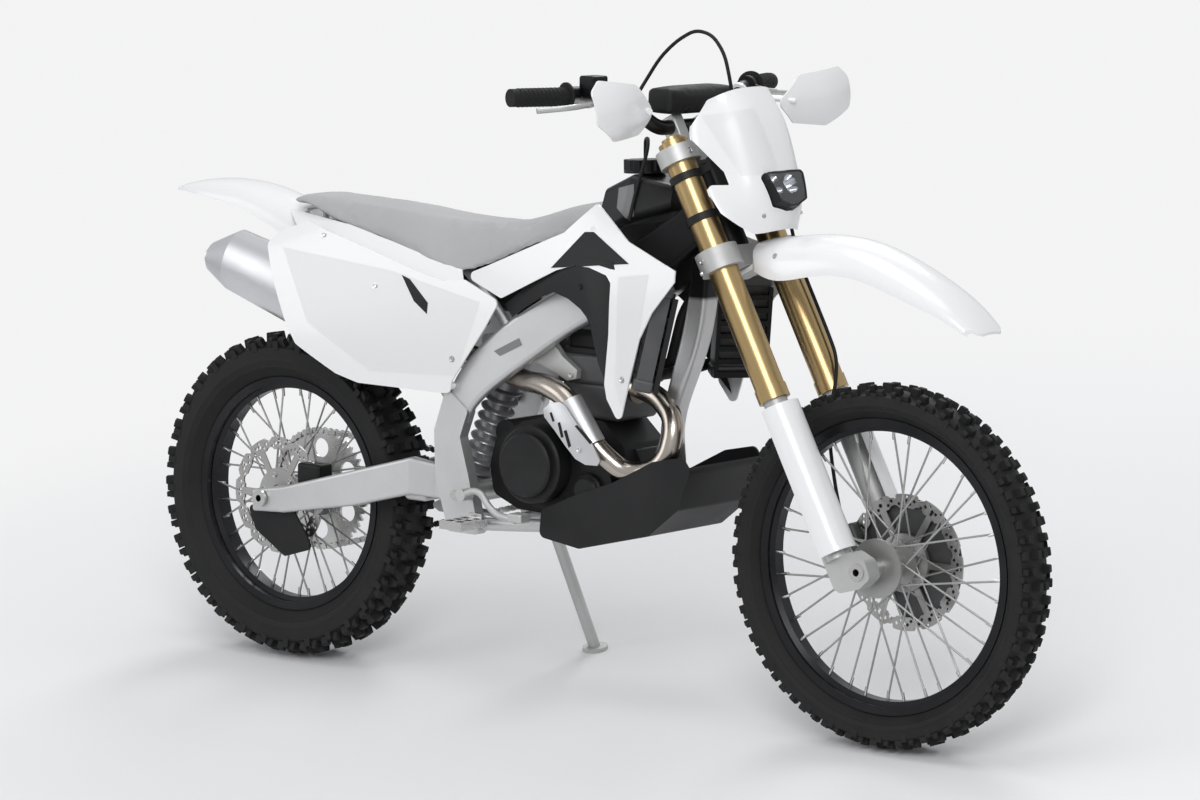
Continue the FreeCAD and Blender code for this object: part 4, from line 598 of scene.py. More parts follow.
@dataclass
class Studio:
    """The camera at the photograph's viewing angle, a pale floor and soft light."""

    azimuth: float = math.radians(38.09)
    elevation: float = math.radians(7.29)
    roll: float = math.radians(0.77)
    distance: float = 9122.8 * MM
    focal_pixels: float = 4671.1
    target: Vector = field(default_factory=lambda: mm(787.9, 0.0, 595.6))
    shadow_reach: float = 1.3
    floor_size: float = 30.0
    lamps: tuple[tuple[str, tuple[float, float, float], float, float], ...] = (
        ("key_lamp", (3.2, -4.2, 4.6), 3.2, 160.0), ("fill_lamp", (-3.8, -3.6, 2.6), 3.0, 40.0),
        ("back_lamp", (-1.5, 4.2, 4.0), 2.6, 80.0), ("top_lamp", (0.2, 0.0, 5.0), 3.4, 60.0))

    def camera_matrix(self) -> Matrix:
        """Return the camera's place and turn beside the parked machine."""
        flat = math.cos(self.elevation)
        back = Vector((math.sin(self.azimuth) * flat, -math.cos(self.azimuth) * flat,
                       math.sin(self.elevation)))
        ahead = -back
        right = ahead.cross(Vector((0.0, 0.0, 1.0))).normalized()
        up = right.cross(ahead)
        turned_right = right * math.cos(self.roll) + up * math.sin(self.roll)
        turned_up = up * math.cos(self.roll) - right * math.sin(self.roll)
        turn = Matrix((turned_right, turned_up, back)).transposed().to_4x4()
        return PARK @ Matrix.Translation(self.target + back * self.distance) @ turn

    def ray(self, camera: Matrix, x: float, y: float) -> Vector:
        """Find the way from the camera through a pixel of the photograph.

        Args:
            camera: The camera's matrix.
            x: The pixel's column.
            y: The pixel's row.

        Returns:
            The way, which isn't of unit length.
        """
        return camera.to_3x3() @ Vector(((x - PHOTO_SIZE[0] / 2.0) / self.focal_pixels,
                                         (PHOTO_SIZE[1] / 2.0 - y) / self.focal_pixels, -1.0))

    def make_camera(self) -> None:
        """Add the camera and make it the scene's own."""
        data = bpy.data.cameras.new("photo_camera")
        data.sensor_width = SENSOR_WIDTH
        data.lens = SENSOR_WIDTH * self.focal_pixels / PHOTO_SIZE[0]
        data.clip_start, data.clip_end = 0.1, 60.0
        camera = link_object("photo_camera", data)
        camera.matrix_world = self.camera_matrix()
        bpy.context.scene.camera = camera

    def make_floor(self) -> None:
        """Add a wide pale floor that keeps the machine's shadow."""
        bm = bmesh.new()
        bmesh.ops.create_grid(bm, x_segments=2, y_segments=2, size=self.floor_size)
        floor = object_from(bm, "studio_floor")
        material = bpy.data.materials.new("pale_floor")
        material.use_nodes = True
        feed(material.node_tree, material.node_tree.nodes["Principled BSDF"],
             {"Base Color": (0.86, 0.86, 0.87, 1.0), "Roughness": 0.8})
        self.brighten(material.node_tree)
        floor.data.materials.append(material)

    def brighten(self, tree: bpy.types.NodeTree) -> None:
        """Let the camera see the floor as plain white away from the machine and its shadow.

        Args:
            tree: The nodes of the floor's material.
        """
        place = add_node(tree, "TexCoord")["Object"]
        reach = add_node(tree, "VectorMath", {0: place}, operation="LENGTH")
        fade = add_node(tree, "MapRange", {
            "From Min": self.shadow_reach, "From Max": self.shadow_reach * 2.0,
            "Value": reach["Value"]}, interpolation_type="SMOOTHSTEP")
        path = add_node(tree, "LightPath")
        share = add_node(tree, "Math", {0: fade["Result"], 1: path["Is Camera Ray"]},
                         operation="MULTIPLY")
        white = add_node(tree, "Emission", {"Color": SURROUND})
        both = add_node(tree, "MixShader", {
            "Fac": share["Value"], 1: tree.nodes["Principled BSDF"].outputs["BSDF"],
            2: white["Emission"]})
        feed(tree, tree.nodes["Material Output"], {"Surface": both["Shader"]})

    def make_world(self) -> None:
        """Light the scene evenly, and show the camera and gloss a near-white surround."""
        world = bpy.data.worlds.new("studio")
        bpy.context.scene.world = world
        world.use_nodes = True
        tree = world.node_tree
        light = tree.nodes["Background"]
        feed(tree, light, {"Color": (0.95, 0.97, 1.0, 1.0), "Strength": 0.42})
        seen = add_node(tree, "Background", {"Color": SURROUND, "Strength": 1.0})
        gloss = add_node(tree, "Background", {"Color": (0.9, 0.92, 0.95, 1.0), "Strength": 0.75})
        path = add_node(tree, "LightPath")
        clear = add_node(tree, "Math", {0: path["Is Glossy Ray"], 1: path["Is Transmission Ray"]},
                         operation="MAXIMUM")
        mirror = add_node(tree, "MixShader", {
            "Fac": clear["Value"], 1: light.outputs["Background"], 2: gloss["Background"]})
        final = add_node(tree, "MixShader", {
            "Fac": path["Is Camera Ray"], 1: mirror["Shader"], 2: seen["Background"]})
        feed(tree, tree.nodes["World Output"], {"Surface": final["Shader"]})

    def make_lamps(self) -> None:
        """Add a large key lamp, a fill and a back lamp and one above, all soft."""
        for name, place, size, watts in self.lamps:
            data = bpy.data.lights.new(name, "AREA")
            data.shape, data.size, data.energy = "DISK", size, watts
            lamp = link_object(name, data)
            lamp.location = place
            aim = Vector((0.0, 0.0, 0.5)) - Vector(place)
            lamp.rotation_euler = aim.to_track_quat("-Z", "Y").to_euler()

    def build(self) -> None:
        """Make the whole studio."""
        bpy.context.scene.view_settings.view_transform = "Standard"
        self.make_camera()
        self.make_floor()
        self.make_world()
        self.make_lamps()


@dataclass
class Surfaces:
    """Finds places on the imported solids, by the photograph's pixels or along a line."""

    studio: Studio
    nodes: dict[str, Piece]
    trees: dict[str, BVHTree] = field(default_factory=dict)

    def tree(self, node: str) -> BVHTree:
        """Make a node's search tree, or find the one made before.

        Args:
            node: The node's name.

        Returns:
            The tree.
        """
        if node not in self.trees:
            mesh = self.nodes[node].data
            self.trees[node] = BVHTree.FromPolygons([v.co for v in mesh.vertices],
                                                    [p.vertices[:] for p in mesh.polygons])
        return self.trees[node]

    def cast(self, node: str, start: Vector, way: Vector) -> Found:
        """Find where a line of the parked machine first meets a node.

        Args:
            node: The node's name.
            start: Where the line starts.
            way: Its direction.

        Returns:
            The place and its outward normal on the upright machine, or nothing.
        """
        place, normal, _, _ = self.tree(node).ray_cast(start, way)
        if place is None:
            log.warning("%s isn't met by the line from %s along %s", node, start[:], way[:])
            return None
        if normal.dot(way) > 0.0:
            normal = -normal
        return UPRIGHT @ place, (UPRIGHT.to_3x3() @ normal).normalized()

    def seen(self, node: str, x: float, y: float) -> Found:
        """Find what a pixel of the photograph, by column and row, shows of a node."""
        camera = self.studio.camera_matrix()
        return self.cast(node, camera.translation, self.studio.ray(camera, x, y).normalized())

    def along(self, node: str, start: Vector, way: Vector) -> Found:
        """Find where a line of the upright machine first meets a node."""
        return self.cast(node, PARK @ start, PARK.to_3x3() @ way)


# Wheels


# Across the tread and round the wheel as shares, width and length as shares, how far the tip
# and the root lie inside the tread in millimetres, lean and turn
LUG_ROWS = (
    (0.21, 0.0, 0.32, 0.3, 0.0, 0.0, 0.0, 0.08),
    (0.52, 0.5, 0.3, 0.28, 3.0, 3.0, 0.16, 0.12),
    (0.83, 0.02, 0.24, 0.3, 9.5, 9.0, 0.5, 0.1),
    (0.83, 0.5, 0.2, 0.2, 10.5, 9.0, 0.5, 0.0),
    (0.945, 0.26, 0.09, 0.24, 17.0, 17.0, 0.1, 0.0))


@dataclass
class Tyre:
    """A knobbly tyre: a carcass turned from its section, with rows of lugs round it."""

    name: str
    body: str
    centre: Vector
    radius: float
    width: float
    flange: float
    rim_width: float
    lug_height: float
    pitches: int
    steps: int = 144
    lug_taper: float = 0.84
    lug_bevel: float = 1.1
    lug_root: float = 2.5
    bead_inset: float = 3.8
    sharp: float = 32.0

    def carcass(self) -> Outline:
        """Return the section from bead to bead, with ribs on each wall."""
        half, low = self.width / 2.0, self.radius - self.lug_height
        bead = self.rim_width / 2.0 - self.bead_inset
        wall = self.radius - self.flange
        side = [(0.0, low), (half * 0.3, low - 0.4), (half * 0.58, low - wall * 0.045),
                (half * 0.82, low - wall * 0.1), (half * 0.94, self.radius - wall * 0.34),
                (half * 0.97, self.radius - wall * 0.47)]
        side += [(half * share, self.flange + wall * up) for share, up in (
            (0.945, 0.4), (0.955, 0.385), (0.93, 0.36), (0.86, 0.26), (0.87, 0.24), (0.82, 0.21))]
        side += [(bead + 6.0, self.flange + wall * 0.06), (bead + 2.0, self.flange + 1.6),
                 (bead, self.flange + 1.0), (bead, self.flange - 11.6)]
        return tuple(side + [(-along, radius) for along, radius in reversed(side[1:])])

    def lug(self, bm: Mesh, side: float, row: tuple[float, ...]) -> None:
        """Add one lug.

        Args:
            bm: The mesh that gets it.
            side: The side of the tread, -1 or 1.
            row: The lug's row of LUG_ROWS.
        """
        across, forward, wide, long, tip, root, lean, turn = row
        half, pitch = self.width / 2.0, FULL_TURN / self.pitches
        arc = pitch * self.radius
        top = self.radius - tip
        foot = self.radius - self.lug_height - self.lug_root - root
        at = Matrix.Translation(self.centre) @ Matrix.Rotation(-pitch * forward, 4, "Y")
        at = at @ Matrix.Translation(mm(0.0, side * half * across, (top + foot) / 2.0))
        at = at @ Matrix.Rotation(-side * lean, 4, "X") @ Matrix.Rotation(side * turn, 4, "Z")
        block(bm, (arc * long, half * wide, top - foot), at, self.lug_taper, self.lug_bevel)

    def build(self) -> Piece:
        """Make the tyre and hide its plain solid."""
        bm = bmesh.new()
        turned_ring(bm, self.carcass(), self.centre, LEFT, self.steps)
        lugs = bmesh.new()
        for side in (-1.0, 1.0):
            for row in LUG_ROWS:
                self.lug(lugs, side, row)
        repeat_round(lugs, self.centre, self.pitches)
        scratch = bpy.data.meshes.new("lugs")
        lugs.to_mesh(scratch)
        lugs.free()
        bm.from_mesh(scratch)
        bpy.data.meshes.remove(scratch)
        piece = piece_from(bm, self.name + "_lugged", TYRE, self.body, smooth=self.sharp)
        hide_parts(self.name)
        return piece


@dataclass
class Pad:
    """A padded piece, such as the seat, whose foam swells a little under the cover."""

    node: str
    body: str
    finish: Finish
    cover: str
    voxel: float = 0.005
    swell: float = 0.006
    shrink: float = 0.004
    passes: int = 3
    weld: float = 0.00002
    pressure: float = 4.0
    quality: int = 5
    frames: int = 20

    def pad(self, node: Piece) -> Piece:
        """Copy the pad's solid, make it an even mesh, round its edges and take it in a little.

        Args:
            node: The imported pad.

        Returns:
            The pad, ready for its cover.
        """
        pad = object_from(solid_mesh(node, self.weld), self.node + "_padded")
        remesh = pad.modifiers.new("even", "REMESH")
        remesh.mode = "VOXEL"
        remesh.voxel_size = self.voxel
        bake(pad)
        bm = bmesh.new()
        bm.from_mesh(pad.data)
        for _ in range(self.passes):
            bmesh.ops.smooth_vert(bm, verts=bm.verts[:], factor=0.5, use_axis_x=True,
                                  use_axis_y=True, use_axis_z=True)
        bm.normal_update()
        for vert in bm.verts:
            vert.co -= vert.normal * self.shrink
        bm.to_mesh(pad.data)
        bm.free()
        return pad

    def simulate(self, pad: Piece) -> None:
        """Blow the pad up as cloth, no further than its swell.

        Args:
            pad: The pad, which gets the new shape.
        """
        rest = [vert.co.copy() for vert in pad.data.vertices]
        cloth = pad.modifiers.new("cover", "CLOTH")
        cloth.settings.use_pressure = True
        cloth.settings.uniform_pressure_force = self.pressure
        cloth.settings.effector_weights.gravity = 0.0
        cloth.settings.quality = self.quality
        cloth.point_cache.frame_end = self.frames
        for frame_number in range(1, self.frames + 1):
            bpy.context.scene.frame_set(frame_number)
        bake(pad)
        bpy.context.scene.frame_set(1)
        for vert, start in zip(pad.data.vertices, rest):
            step = vert.co - start
            if step.length > self.swell:
                vert.co = start + step.normalized() * self.swell

    def build(self, nodes: dict[str, Piece]) -> Piece:
        """Make the pad and hide its plain solid.

        Args:
            nodes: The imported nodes.

        Returns:
            The pad.
        """
        pad = self.pad(nodes[self.node])
        self.simulate(pad)
        rounded = pad.modifiers.new("rounded", "SUBSURF")
        rounded.levels = rounded.render_levels = 1
        for polygon in pad.data.polygons:
            polygon.use_smooth = True
        pad.data.materials.clear()
        pad.data.materials.append(self.finish.material())
        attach(pad, self.body)
        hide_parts(self.node)
        log.info("%s: %d faces", pad.name, len(pad.data.polygons))
        return pad


# Trim, fasteners and fittings


@dataclass
class Overlay:
    """A thin piece that lies on a packed surface inside a convex outline of the photograph."""

    name: str
    node: str
    outline: Outline
    finish: Finish
    body: str = "chassis"
    slot: str = "black_plastic"
    lift: float = 0.0009
    thickness: float = 0.0006
    both_sides: bool = True

    def cut(self, bm: Mesh, studio: Studio) -> None:
        """Keep what lies inside the outline, as the camera sees it.

        Args:
            bm: The node's mesh, parked.
            studio: The studio with the camera.
        """
        camera = studio.camera_matrix()
        eye = camera.translation
        rays = [studio.ray(camera, x, y).normalized() for x, y in self.outline]
        middle = sum(rays, Vector()) / len(rays)
        for index, ray in enumerate(rays):
            normal = ray.cross(rays[(index + 1) % len(rays)]).normalized()
            if normal.dot(middle) > 0.0:
                normal = -normal
            bmesh.ops.bisect_plane(bm, geom=bm.verts[:] + bm.edges[:] + bm.faces[:], dist=1e-7,
                                   plane_co=eye, plane_no=normal, clear_outer=True)
        bm.normal_update()
        away = [face for face in bm.faces if face.normal.dot(
            (face.calc_center_median() - eye).normalized()) > EYE_FACING]
        bmesh.ops.delete(bm, geom=away, context="FACES")

    def build(self, surfaces: Surfaces) -> Piece | None:
        """Cut the piece out of the node's surface and give it its thickness.

        Args:
            surfaces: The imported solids.

        Returns:
            The piece, or nothing where the outline meets no surface.
        """
        bm = solid_mesh(surfaces.nodes[self.node])
        self.cut(bm, surfaces.studio)
        bm.transform(UPRIGHT)
        if self.both_sides:
            left = [face for face in bm.faces if face.calc_center_median().y > 0.0]
            bmesh.ops.delete(bm, geom=left, context="FACES")
        bm.normal_update()
        mean = sum((face.normal * face.calc_area() for face in bm.faces), Vector()).normalized()
        turned = [face for face in bm.faces if face.normal.dot(mean) < MEAN_FACING]
        bmesh.ops.delete(bm, geom=turned, context="FACES")
        if not bm.faces:
            log.warning("%s found no surface", self.name)
            bm.free()
            return None
        for vert in bm.verts:
            vert.co += mean * self.lift
        thicken(bm, bm.faces[:], -mean * self.thickness)
        if self.both_sides:
            add_twin(bm)
        return piece_from(bm, self.name, self.finish, self.body)


OVERLAYS = (
    Overlay("panel_slots", "side_panels",
            ((402, 275), (410, 279), (428, 303), (427, 314), (414, 301)), BLACK),
    Overlay("shroud_inserts", "shrouds",
            ((551, 268), (585, 232), (594, 232), (629, 264)), BLACK),
    Overlay("tank_bands", "fuel_tank",
            ((619, 188), (634, 184), (634, 228), (617, 208)), GREY),
    Overlay("spar_patches", "frame_main",
            ((519, 338), (522, 345), (500, 356), (494, 351)), GREY),
    Overlay("mask_field", "headlight_mask",
            ((701, 116), (760, 107), (783, 173), (741, 176), (717, 141)),
            FIELD, "steering", "white_plastic", 0.0003, 0.0003, both_sides=False),
    Overlay("panel_fields", "side_panels",
            ((283, 247), (390, 270), (480, 302), (456, 376), (370, 371),
             (307, 322)), FIELD, "chassis", "white_plastic", 0.0003, 0.0003),
    Overlay("shroud_fields", "shrouds",
            ((618, 277), (652, 274), (640, 330), (629, 398), (622, 410),
             (615, 385)), FIELD, "chassis", "white_plastic", 0.0003, 0.0003))


@dataclass
class SidePlate:
    """A flat plate beside the machine, drawn on the photograph, with or without a twin.

    It stands nearly upright: its outer face is at `side` where x is `ahead`, both in
    millimetres, and moves out by `splay` for every millimetre ahead.
    """

    name: str
    outline: Outline
    finish: Finish
    slot: str
    side: float
    ahead: float
    splay: float = 0.0
    thickness: float = 2.5
    bevel: float = 0.6
    bolts: tuple[tuple[float, float, float], ...] = ()
    both_sides: bool = True
    bolt_height: float = 3.0
    sharp: float = 1.2

    def place(self, studio: Studio, x: float, y: float) -> Vector:
        """Find where a pixel of the photograph meets the plate's outer face.

        Args:
            studio: The studio with the camera.
            x: The pixel's column.
            y: The pixel's row.

        Returns:
            The place on the upright machine.
        """
        camera = UPRIGHT @ studio.camera_matrix()
        ray = studio.ray(camera, x, y)
        normal = Vector((-self.splay, 1.0, 0.0))
        corner = mm(self.ahead, self.side, 0.0)
        reach = (corner - camera.translation).dot(normal) / ray.dot(normal)
        return camera.translation + ray * reach

    def build(self, studio: Studio) -> Piece:
        """Make the plate with its bolts, and mirror it if it has a twin.

        Args:
            studio: The studio with the camera.

        Returns:
            The plate.
        """
        bm = bmesh.new()
        face = bm.faces.new([bm.verts.new(self.place(studio, x, y)) for x, y in self.outline])
        bm.normal_update()
        if face.normal.y > 0.0:
            face.normal_flip()
        out = face.normal.copy()
        thicken(bm, [face], -out * self.thickness * MM)
        if self.bevel > 0.0:
            corner = face.verts[0].co
            edges = [edge for edge in bm.edges if edge.is_manifold
                     and edge.calc_face_angle(0.0) > self.sharp
                     and all((vert.co - corner).dot(out) > -FLUSH for vert in edge.verts)]
            bmesh.ops.bevel(bm, geom=edges, offset=self.bevel * MM, segments=2, profile=0.5,
                            affect="EDGES", material=-1)
        for x, y, radius in self.bolts:
            bolt(bm, self.place(studio, x, y), out, radius, self.bolt_height)
        if self.both_sides:
            add_twin(bm)
        return piece_from(bm, self.name, self.finish, "chassis")


GUARD_SLOTS: tuple[Outline, ...] = (
    ((549.5, 413.0), (551.5, 412.0), (554.5, 421.0), (552.5, 422.0)),
    ((557.5, 423.0), (560, 422), (563.5, 437.0), (561, 438)),
    ((563.5, 431.0), (566.5, 430.0), (571, 446), (568.5, 448.0)),
    ((574.5, 426.0), (577, 425), (592, 442), (590.0, 444.5)))

SIDE_PLATES = (
    SidePlate("header_guard", (
        (543, 409), (550, 403), (560, 402), (566, 407), (575, 421),
        (592, 444), (600, 461), (597, 466), (585, 465), (575, 459),
        (565, 446), (554, 430), (544, 417)), MUFFLER, "alloy", -152.0, 830.0,
        bevel=1.0, thickness=4.0, bolts=((579.0, 450.0, 6.0),), both_sides=False),
    *(SidePlate("guard_slot_" + str(number), slot, BLACK, "black_plastic", -152.4, 830.0,
                bevel=0.0, thickness=1.5, both_sides=False)
      for number, slot in enumerate(GUARD_SLOTS, 1)),
    SidePlate("inner_trims", (
        (541, 274), (552, 264), (580, 256), (612, 262), (619, 280),
        (616, 330), (614, 360), (616, 390), (620, 410), (606, 385),
        (598, 364), (594, 345), (590, 326), (586, 317), (580, 309),
        (568, 299), (553, 292), (541, 297), (525, 307), (512, 317),
        (505, 304)), BLACK, "black_plastic", -148.0, 805.0, -0.176,
        bolts=((580.0, 287.0, 6.0),)),
    SidePlate("engine_hangers", (
        (527, 349), (534, 340), (547, 336), (552, 341), (562, 356),
        (577, 370), (576, 379), (567, 381), (552, 371), (538, 363),
        (524, 363)), CAST, "alloy", -86.0, 760.0, thickness=16.0, bevel=1.2,
        bolts=((546.0, 348.0, 6.0), (533.0, 358.0, 6.0), (571.0, 375.0, 6.0))))


@dataclass
class TailSides:
    """White skirts that slope from the seat's sides down behind the side panels' upper edges."""

    upper: tuple[tuple[str, float, float], ...] = (
        ("rear_fender", 288.0, 208.0), ("seat", 350.0, 225.0), ("seat", 395.0, 243.0),
        ("seat", 430.0, 258.0), ("seat", 460.0, 265.0))
    lower: tuple[tuple[str, float, float], ...] = (
        ("side_panels", 300.0, 236.0), ("side_panels", 345.0, 250.0),
        ("side_panels", 385.0, 268.0), ("side_panels", 425.0, 284.0),
        ("side_panels", 464.0, 292.0))
    tuck: float = 4.5
    thickness: float = 2.0

    def build(self, surfaces: Surfaces) -> Piece:
        """Make the right skirt between its two rows of places, and mirror it.

        Args:
            surfaces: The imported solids.

        Returns:
            Both skirts as one piece.
        """
        bm = bmesh.new()
        edges = []
        for row in (self.upper, self.lower):
            places = [surfaces.seen(*place) for place in row]
            verts = [bm.verts.new(found[0] + mm(0.0, self.tuck, 0.0)) for found in places if found]
            edges += [bm.edges.new(pair) for pair in zip(verts, verts[1:])]
        bmesh.ops.bridge_loops(bm, edges=edges)
        bmesh.ops.subdivide_edges(bm, edges=bm.edges[:], cuts=3, use_grid_fill=True)
        bmesh.ops.smooth_vert(bm, verts=[vert for vert in bm.verts if not vert.is_boundary],
                              factor=0.5, use_axis_x=True, use_axis_y=True, use_axis_z=True)
        bm.normal_update()
        mean = sum((face.normal for face in bm.faces), Vector()).normalized()
        if mean.y > 0.0:
            mean = -mean
        thicken(bm, bm.faces[:], -mean * self.thickness * MM)
        add_twin(bm)
        return piece_from(bm, "tail_sides", WHITE, "chassis")


@dataclass
class Fasteners:
    """Bolts on the machine, by where the photograph or the design shows them."""

    panel_bolts: tuple[tuple[str, float, float, float], ...] = (
        ("side_panels", 324.0, 235.0, 5.5), ("side_panels", 375.0, 286.0, 5.5),
        ("side_panels", 452.0, 359.0, 5.5), ("shrouds", 622.0, 380.0, 5.5))
    guard_bolts: tuple[tuple[str, float, float, float], ...] = (
        ("fork_guards", 800.0, 398.0, 4.0), ("fork_guards", 836.0, 548.0, 4.0),
        ("front_fender", 775.0, 256.0, 4.5), ("lower_clamp", 702.0, 262.0, 4.5),
        ("lower_clamp", 702.0, 274.0, 4.5), ("upper_clamp", 690.0, 150.0, 4.5),
        ("headlight_mask", 764.0, 216.0, 3.5))
    height: float = 3.0
    stand_off: float = 0.12

    def seen_bolts(self, surfaces: Surfaces, name: str, body: str,
                   places: tuple[tuple[str, float, float, float], ...]) -> None:
        """Put a bolt where each pixel of the photograph meets a node, and on the other side.

        Args:
            surfaces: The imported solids.
            name: The piece's name.
            body: The body it rides on.
            places: Node, column, row and head radius of each bolt.
        """
        bm = bmesh.new()
        for node, x, y, radius in places:
            found = surfaces.seen(node, x, y)
            if found is None:
                continue
            place, normal = found
            for side in (1.0, -1.0):
                bolt(bm, Vector((place.x, place.y * side, place.z)),
                     Vector((normal.x, normal.y * side, normal.z)), radius, self.height)
        piece_from(bm, name, STEEL, body)

    @staticmethod
    def circle(centre: Vector, axis: Vector, radius: float, count: int,
               phase: float = 0.0) -> list[Vector]:
        """Return places evenly round an axis.

        Args:
            centre: The circle's centre.
            axis: The axis.
            radius: The circle's radius in millimetres.
            count: How many places there are.
            phase: Where the first place is.

        Returns:
            The places.
        """
        out = axis.orthogonal().normalized()
        return [centre + Matrix.Rotation(phase + FULL_TURN * index / count, 3, axis) @ out
                * radius * MM for index in range(count)]

    def cover_bolts(self, surfaces: Surfaces) -> None:
        """Put circles of bolts on the engine covers, where a cover lies under them.

        Args:
            surfaces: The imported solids.
        """
        bm = bmesh.new()
        for centre, side, radius, count, phase, head, height in (
                (mm(688.0, 0.0, 424.0), RIGHT, 74.0, 9, 0.3, 5.0, 4.0),
                (mm(688.0, 0.0, 424.0), RIGHT, 44.0, 5, 0.0, 4.5, 3.5),
                (mm(716.0, 0.0, 420.0), LEFT, 58.0, 6, 0.0, 5.0, 4.0)):
            for place in self.circle(centre, side, radius, count, phase):
                found = surfaces.along("engine_covers", place + side * self.stand_off, -side)
                if found is not None:
                    bolt(bm, found[0], side, head, height, 1.2)
        piece_from(bm, "engine_bolts", STEEL, "chassis")

    def build(self, surfaces: Surfaces) -> None:
        """Make every fastener of the machine.

        Args:
            surfaces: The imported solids.
        """
        self.seen_bolts(surfaces, "panel_bolts", "chassis", self.panel_bolts)
        self.seen_bolts(surfaces, "guard_bolts", "steering", self.guard_bolts)
        self.cover_bolts(surfaces)
        for name, body, centre, side, radius, head, height in (
                ("front_disc_bolts", "front_wheel", mm(1480.0, 56.0, 345.0), LEFT, 42.0, 5.0, 3.5),
                ("rear_disc_bolts", "rear_wheel", mm(0.0, -60.0, 334.0), RIGHT, 42.0, 5.0, 3.5),
                ("sprocket_bolts", "rear_wheel", mm(0.0, 77.0, 334.0), LEFT, 54.0, 6.0, 5.0)):
            bm = bmesh.new()
            for place in self.circle(centre, side, radius, 6):
                bolt(bm, place, side, head, height, 1.25)
            piece_from(bm, name, STEEL, body)


@dataclass
class Nipples:
    """Spoke nipples where the spokes reach the rim."""

    name: str
    body: str
    centre: Vector
    radius: float
    count: int = 36
    sink: float = 8.0
    apart: float = 6.0

    def build(self) -> Piece:
        """Make one nipple for each side and turn the rest round the axle."""
        bm = bmesh.new()
        for side, phase in ((-1.0, 0.0), (1.0, FULL_TURN / self.count)):
            turn = Matrix.Rotation(-phase, 4, "Y")
            at = Matrix.Translation(self.centre) @ turn @ Matrix.Translation(
                mm(self.radius - self.sink, side * self.apart, 0.0))
            rod(bm, at @ Matrix.Rotation(math.pi / 2.0, 4, "Y"), (2.6, 3.4), 17.0, 8)
        repeat_round(bm, self.centre, self.count // 2)
        return piece_from(bm, self.name, STEEL, self.body)


@dataclass
class Rotor:
    """A brake disc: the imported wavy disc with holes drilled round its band."""

    name: str
    body: str
    centre: Vector
    radius: float
    count: int
    rows: tuple[tuple[float, float], ...] = ((5.5, 3.2), (12.0, 3.6), (18.5, 3.2))

    def drills(self) -> Piece:
        """Return the drills as one mesh of rods through the band."""
        bm = bmesh.new()
        step = FULL_TURN / self.count
        for index, (inset, size) in enumerate(self.rows):
            at = (Matrix.Translation(self.centre) @ Matrix.Rotation(-step * index / 3.0, 4, "Y")
                  @ Matrix.Translation(mm(self.radius - inset, 0.0, 0.0))
                  @ Matrix.Rotation(math.pi / 2.0, 4, "X"))
            rod(bm, at, (size, size), 160.0, 10)
        repeat_round(bm, self.centre, self.count)
        bm.transform(PARK)
        return object_from(bm, "drills")

    def build(self, nodes: dict[str, Piece]) -> Piece:
        """Drill the disc and hide the plain one.

        Args:
            nodes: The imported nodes.

        Returns:
            The drilled disc.
        """
        disc = object_from(solid_mesh(nodes[self.name]), self.name + "_drilled")
        drills = self.drills()
        cutter = disc.modifiers.new("holes", "BOOLEAN")
        cutter.operation, cutter.solver, cutter.object = "DIFFERENCE", "EXACT", drills
        bake(disc)
        bpy.data.objects.remove(drills)
        disc.data.materials.clear()
        disc.data.materials.append(DISC.material())
        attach(disc, self.body)
        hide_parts(self.name)
        log.info("%s: %d faces", disc.name, len(disc.data.polygons))
        return disc


@dataclass
class Grips:
    """Raised rings round the rubber grips, a row on each."""

    pitch: float = 9.0
    rings: int = 11
    proud: float = 0.9
    end_reach: float = 0.03
    stand_off: float = 0.05
    steps: int = 24

    def build(self, surfaces: Surfaces) -> Piece:
        """Make the rings, each on the grip's own surface where the bar runs through it.

        Args:
            surfaces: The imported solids.

        Returns:
            The rings as one piece.
        """
        bm = bmesh.new()
        points = [UPRIGHT @ vert.co for vert in surfaces.nodes["grips"].data.vertices]
        for side in (-1.0, 1.0):
            near = [point for point in points if point.y * side > 0.0]
            reach = [point.y * side for point in near]
            ends = []
            for y in (min(reach), max(reach)):
                rim = [point for point in near if abs(point.y * side - y) < self.end_reach]
                ends.append(sum(rim, Vector()) / len(rim))
            axis = (ends[1] - ends[0]).normalized()
            for index in range(self.rings):
                middle = ends[0].lerp(ends[1], 0.5) + axis * (
                    index - (self.rings - 1) / 2.0) * self.pitch * MM
                start = middle + axis.orthogonal().normalized() * self.stand_off
                found = surfaces.along("grips", start, -axis.orthogonal())
                if found is None:
                    continue
                radius = (found[0] - middle).length / MM
                turned_ring(bm, ((-2.2, radius - 0.8), (-1.4, radius + self.proud),
                                 (1.4, radius + self.proud), (2.2, radius - 0.8)), middle, axis,
                            self.steps)
        return piece_from(bm, "grip_rings", GRIP, "steering")


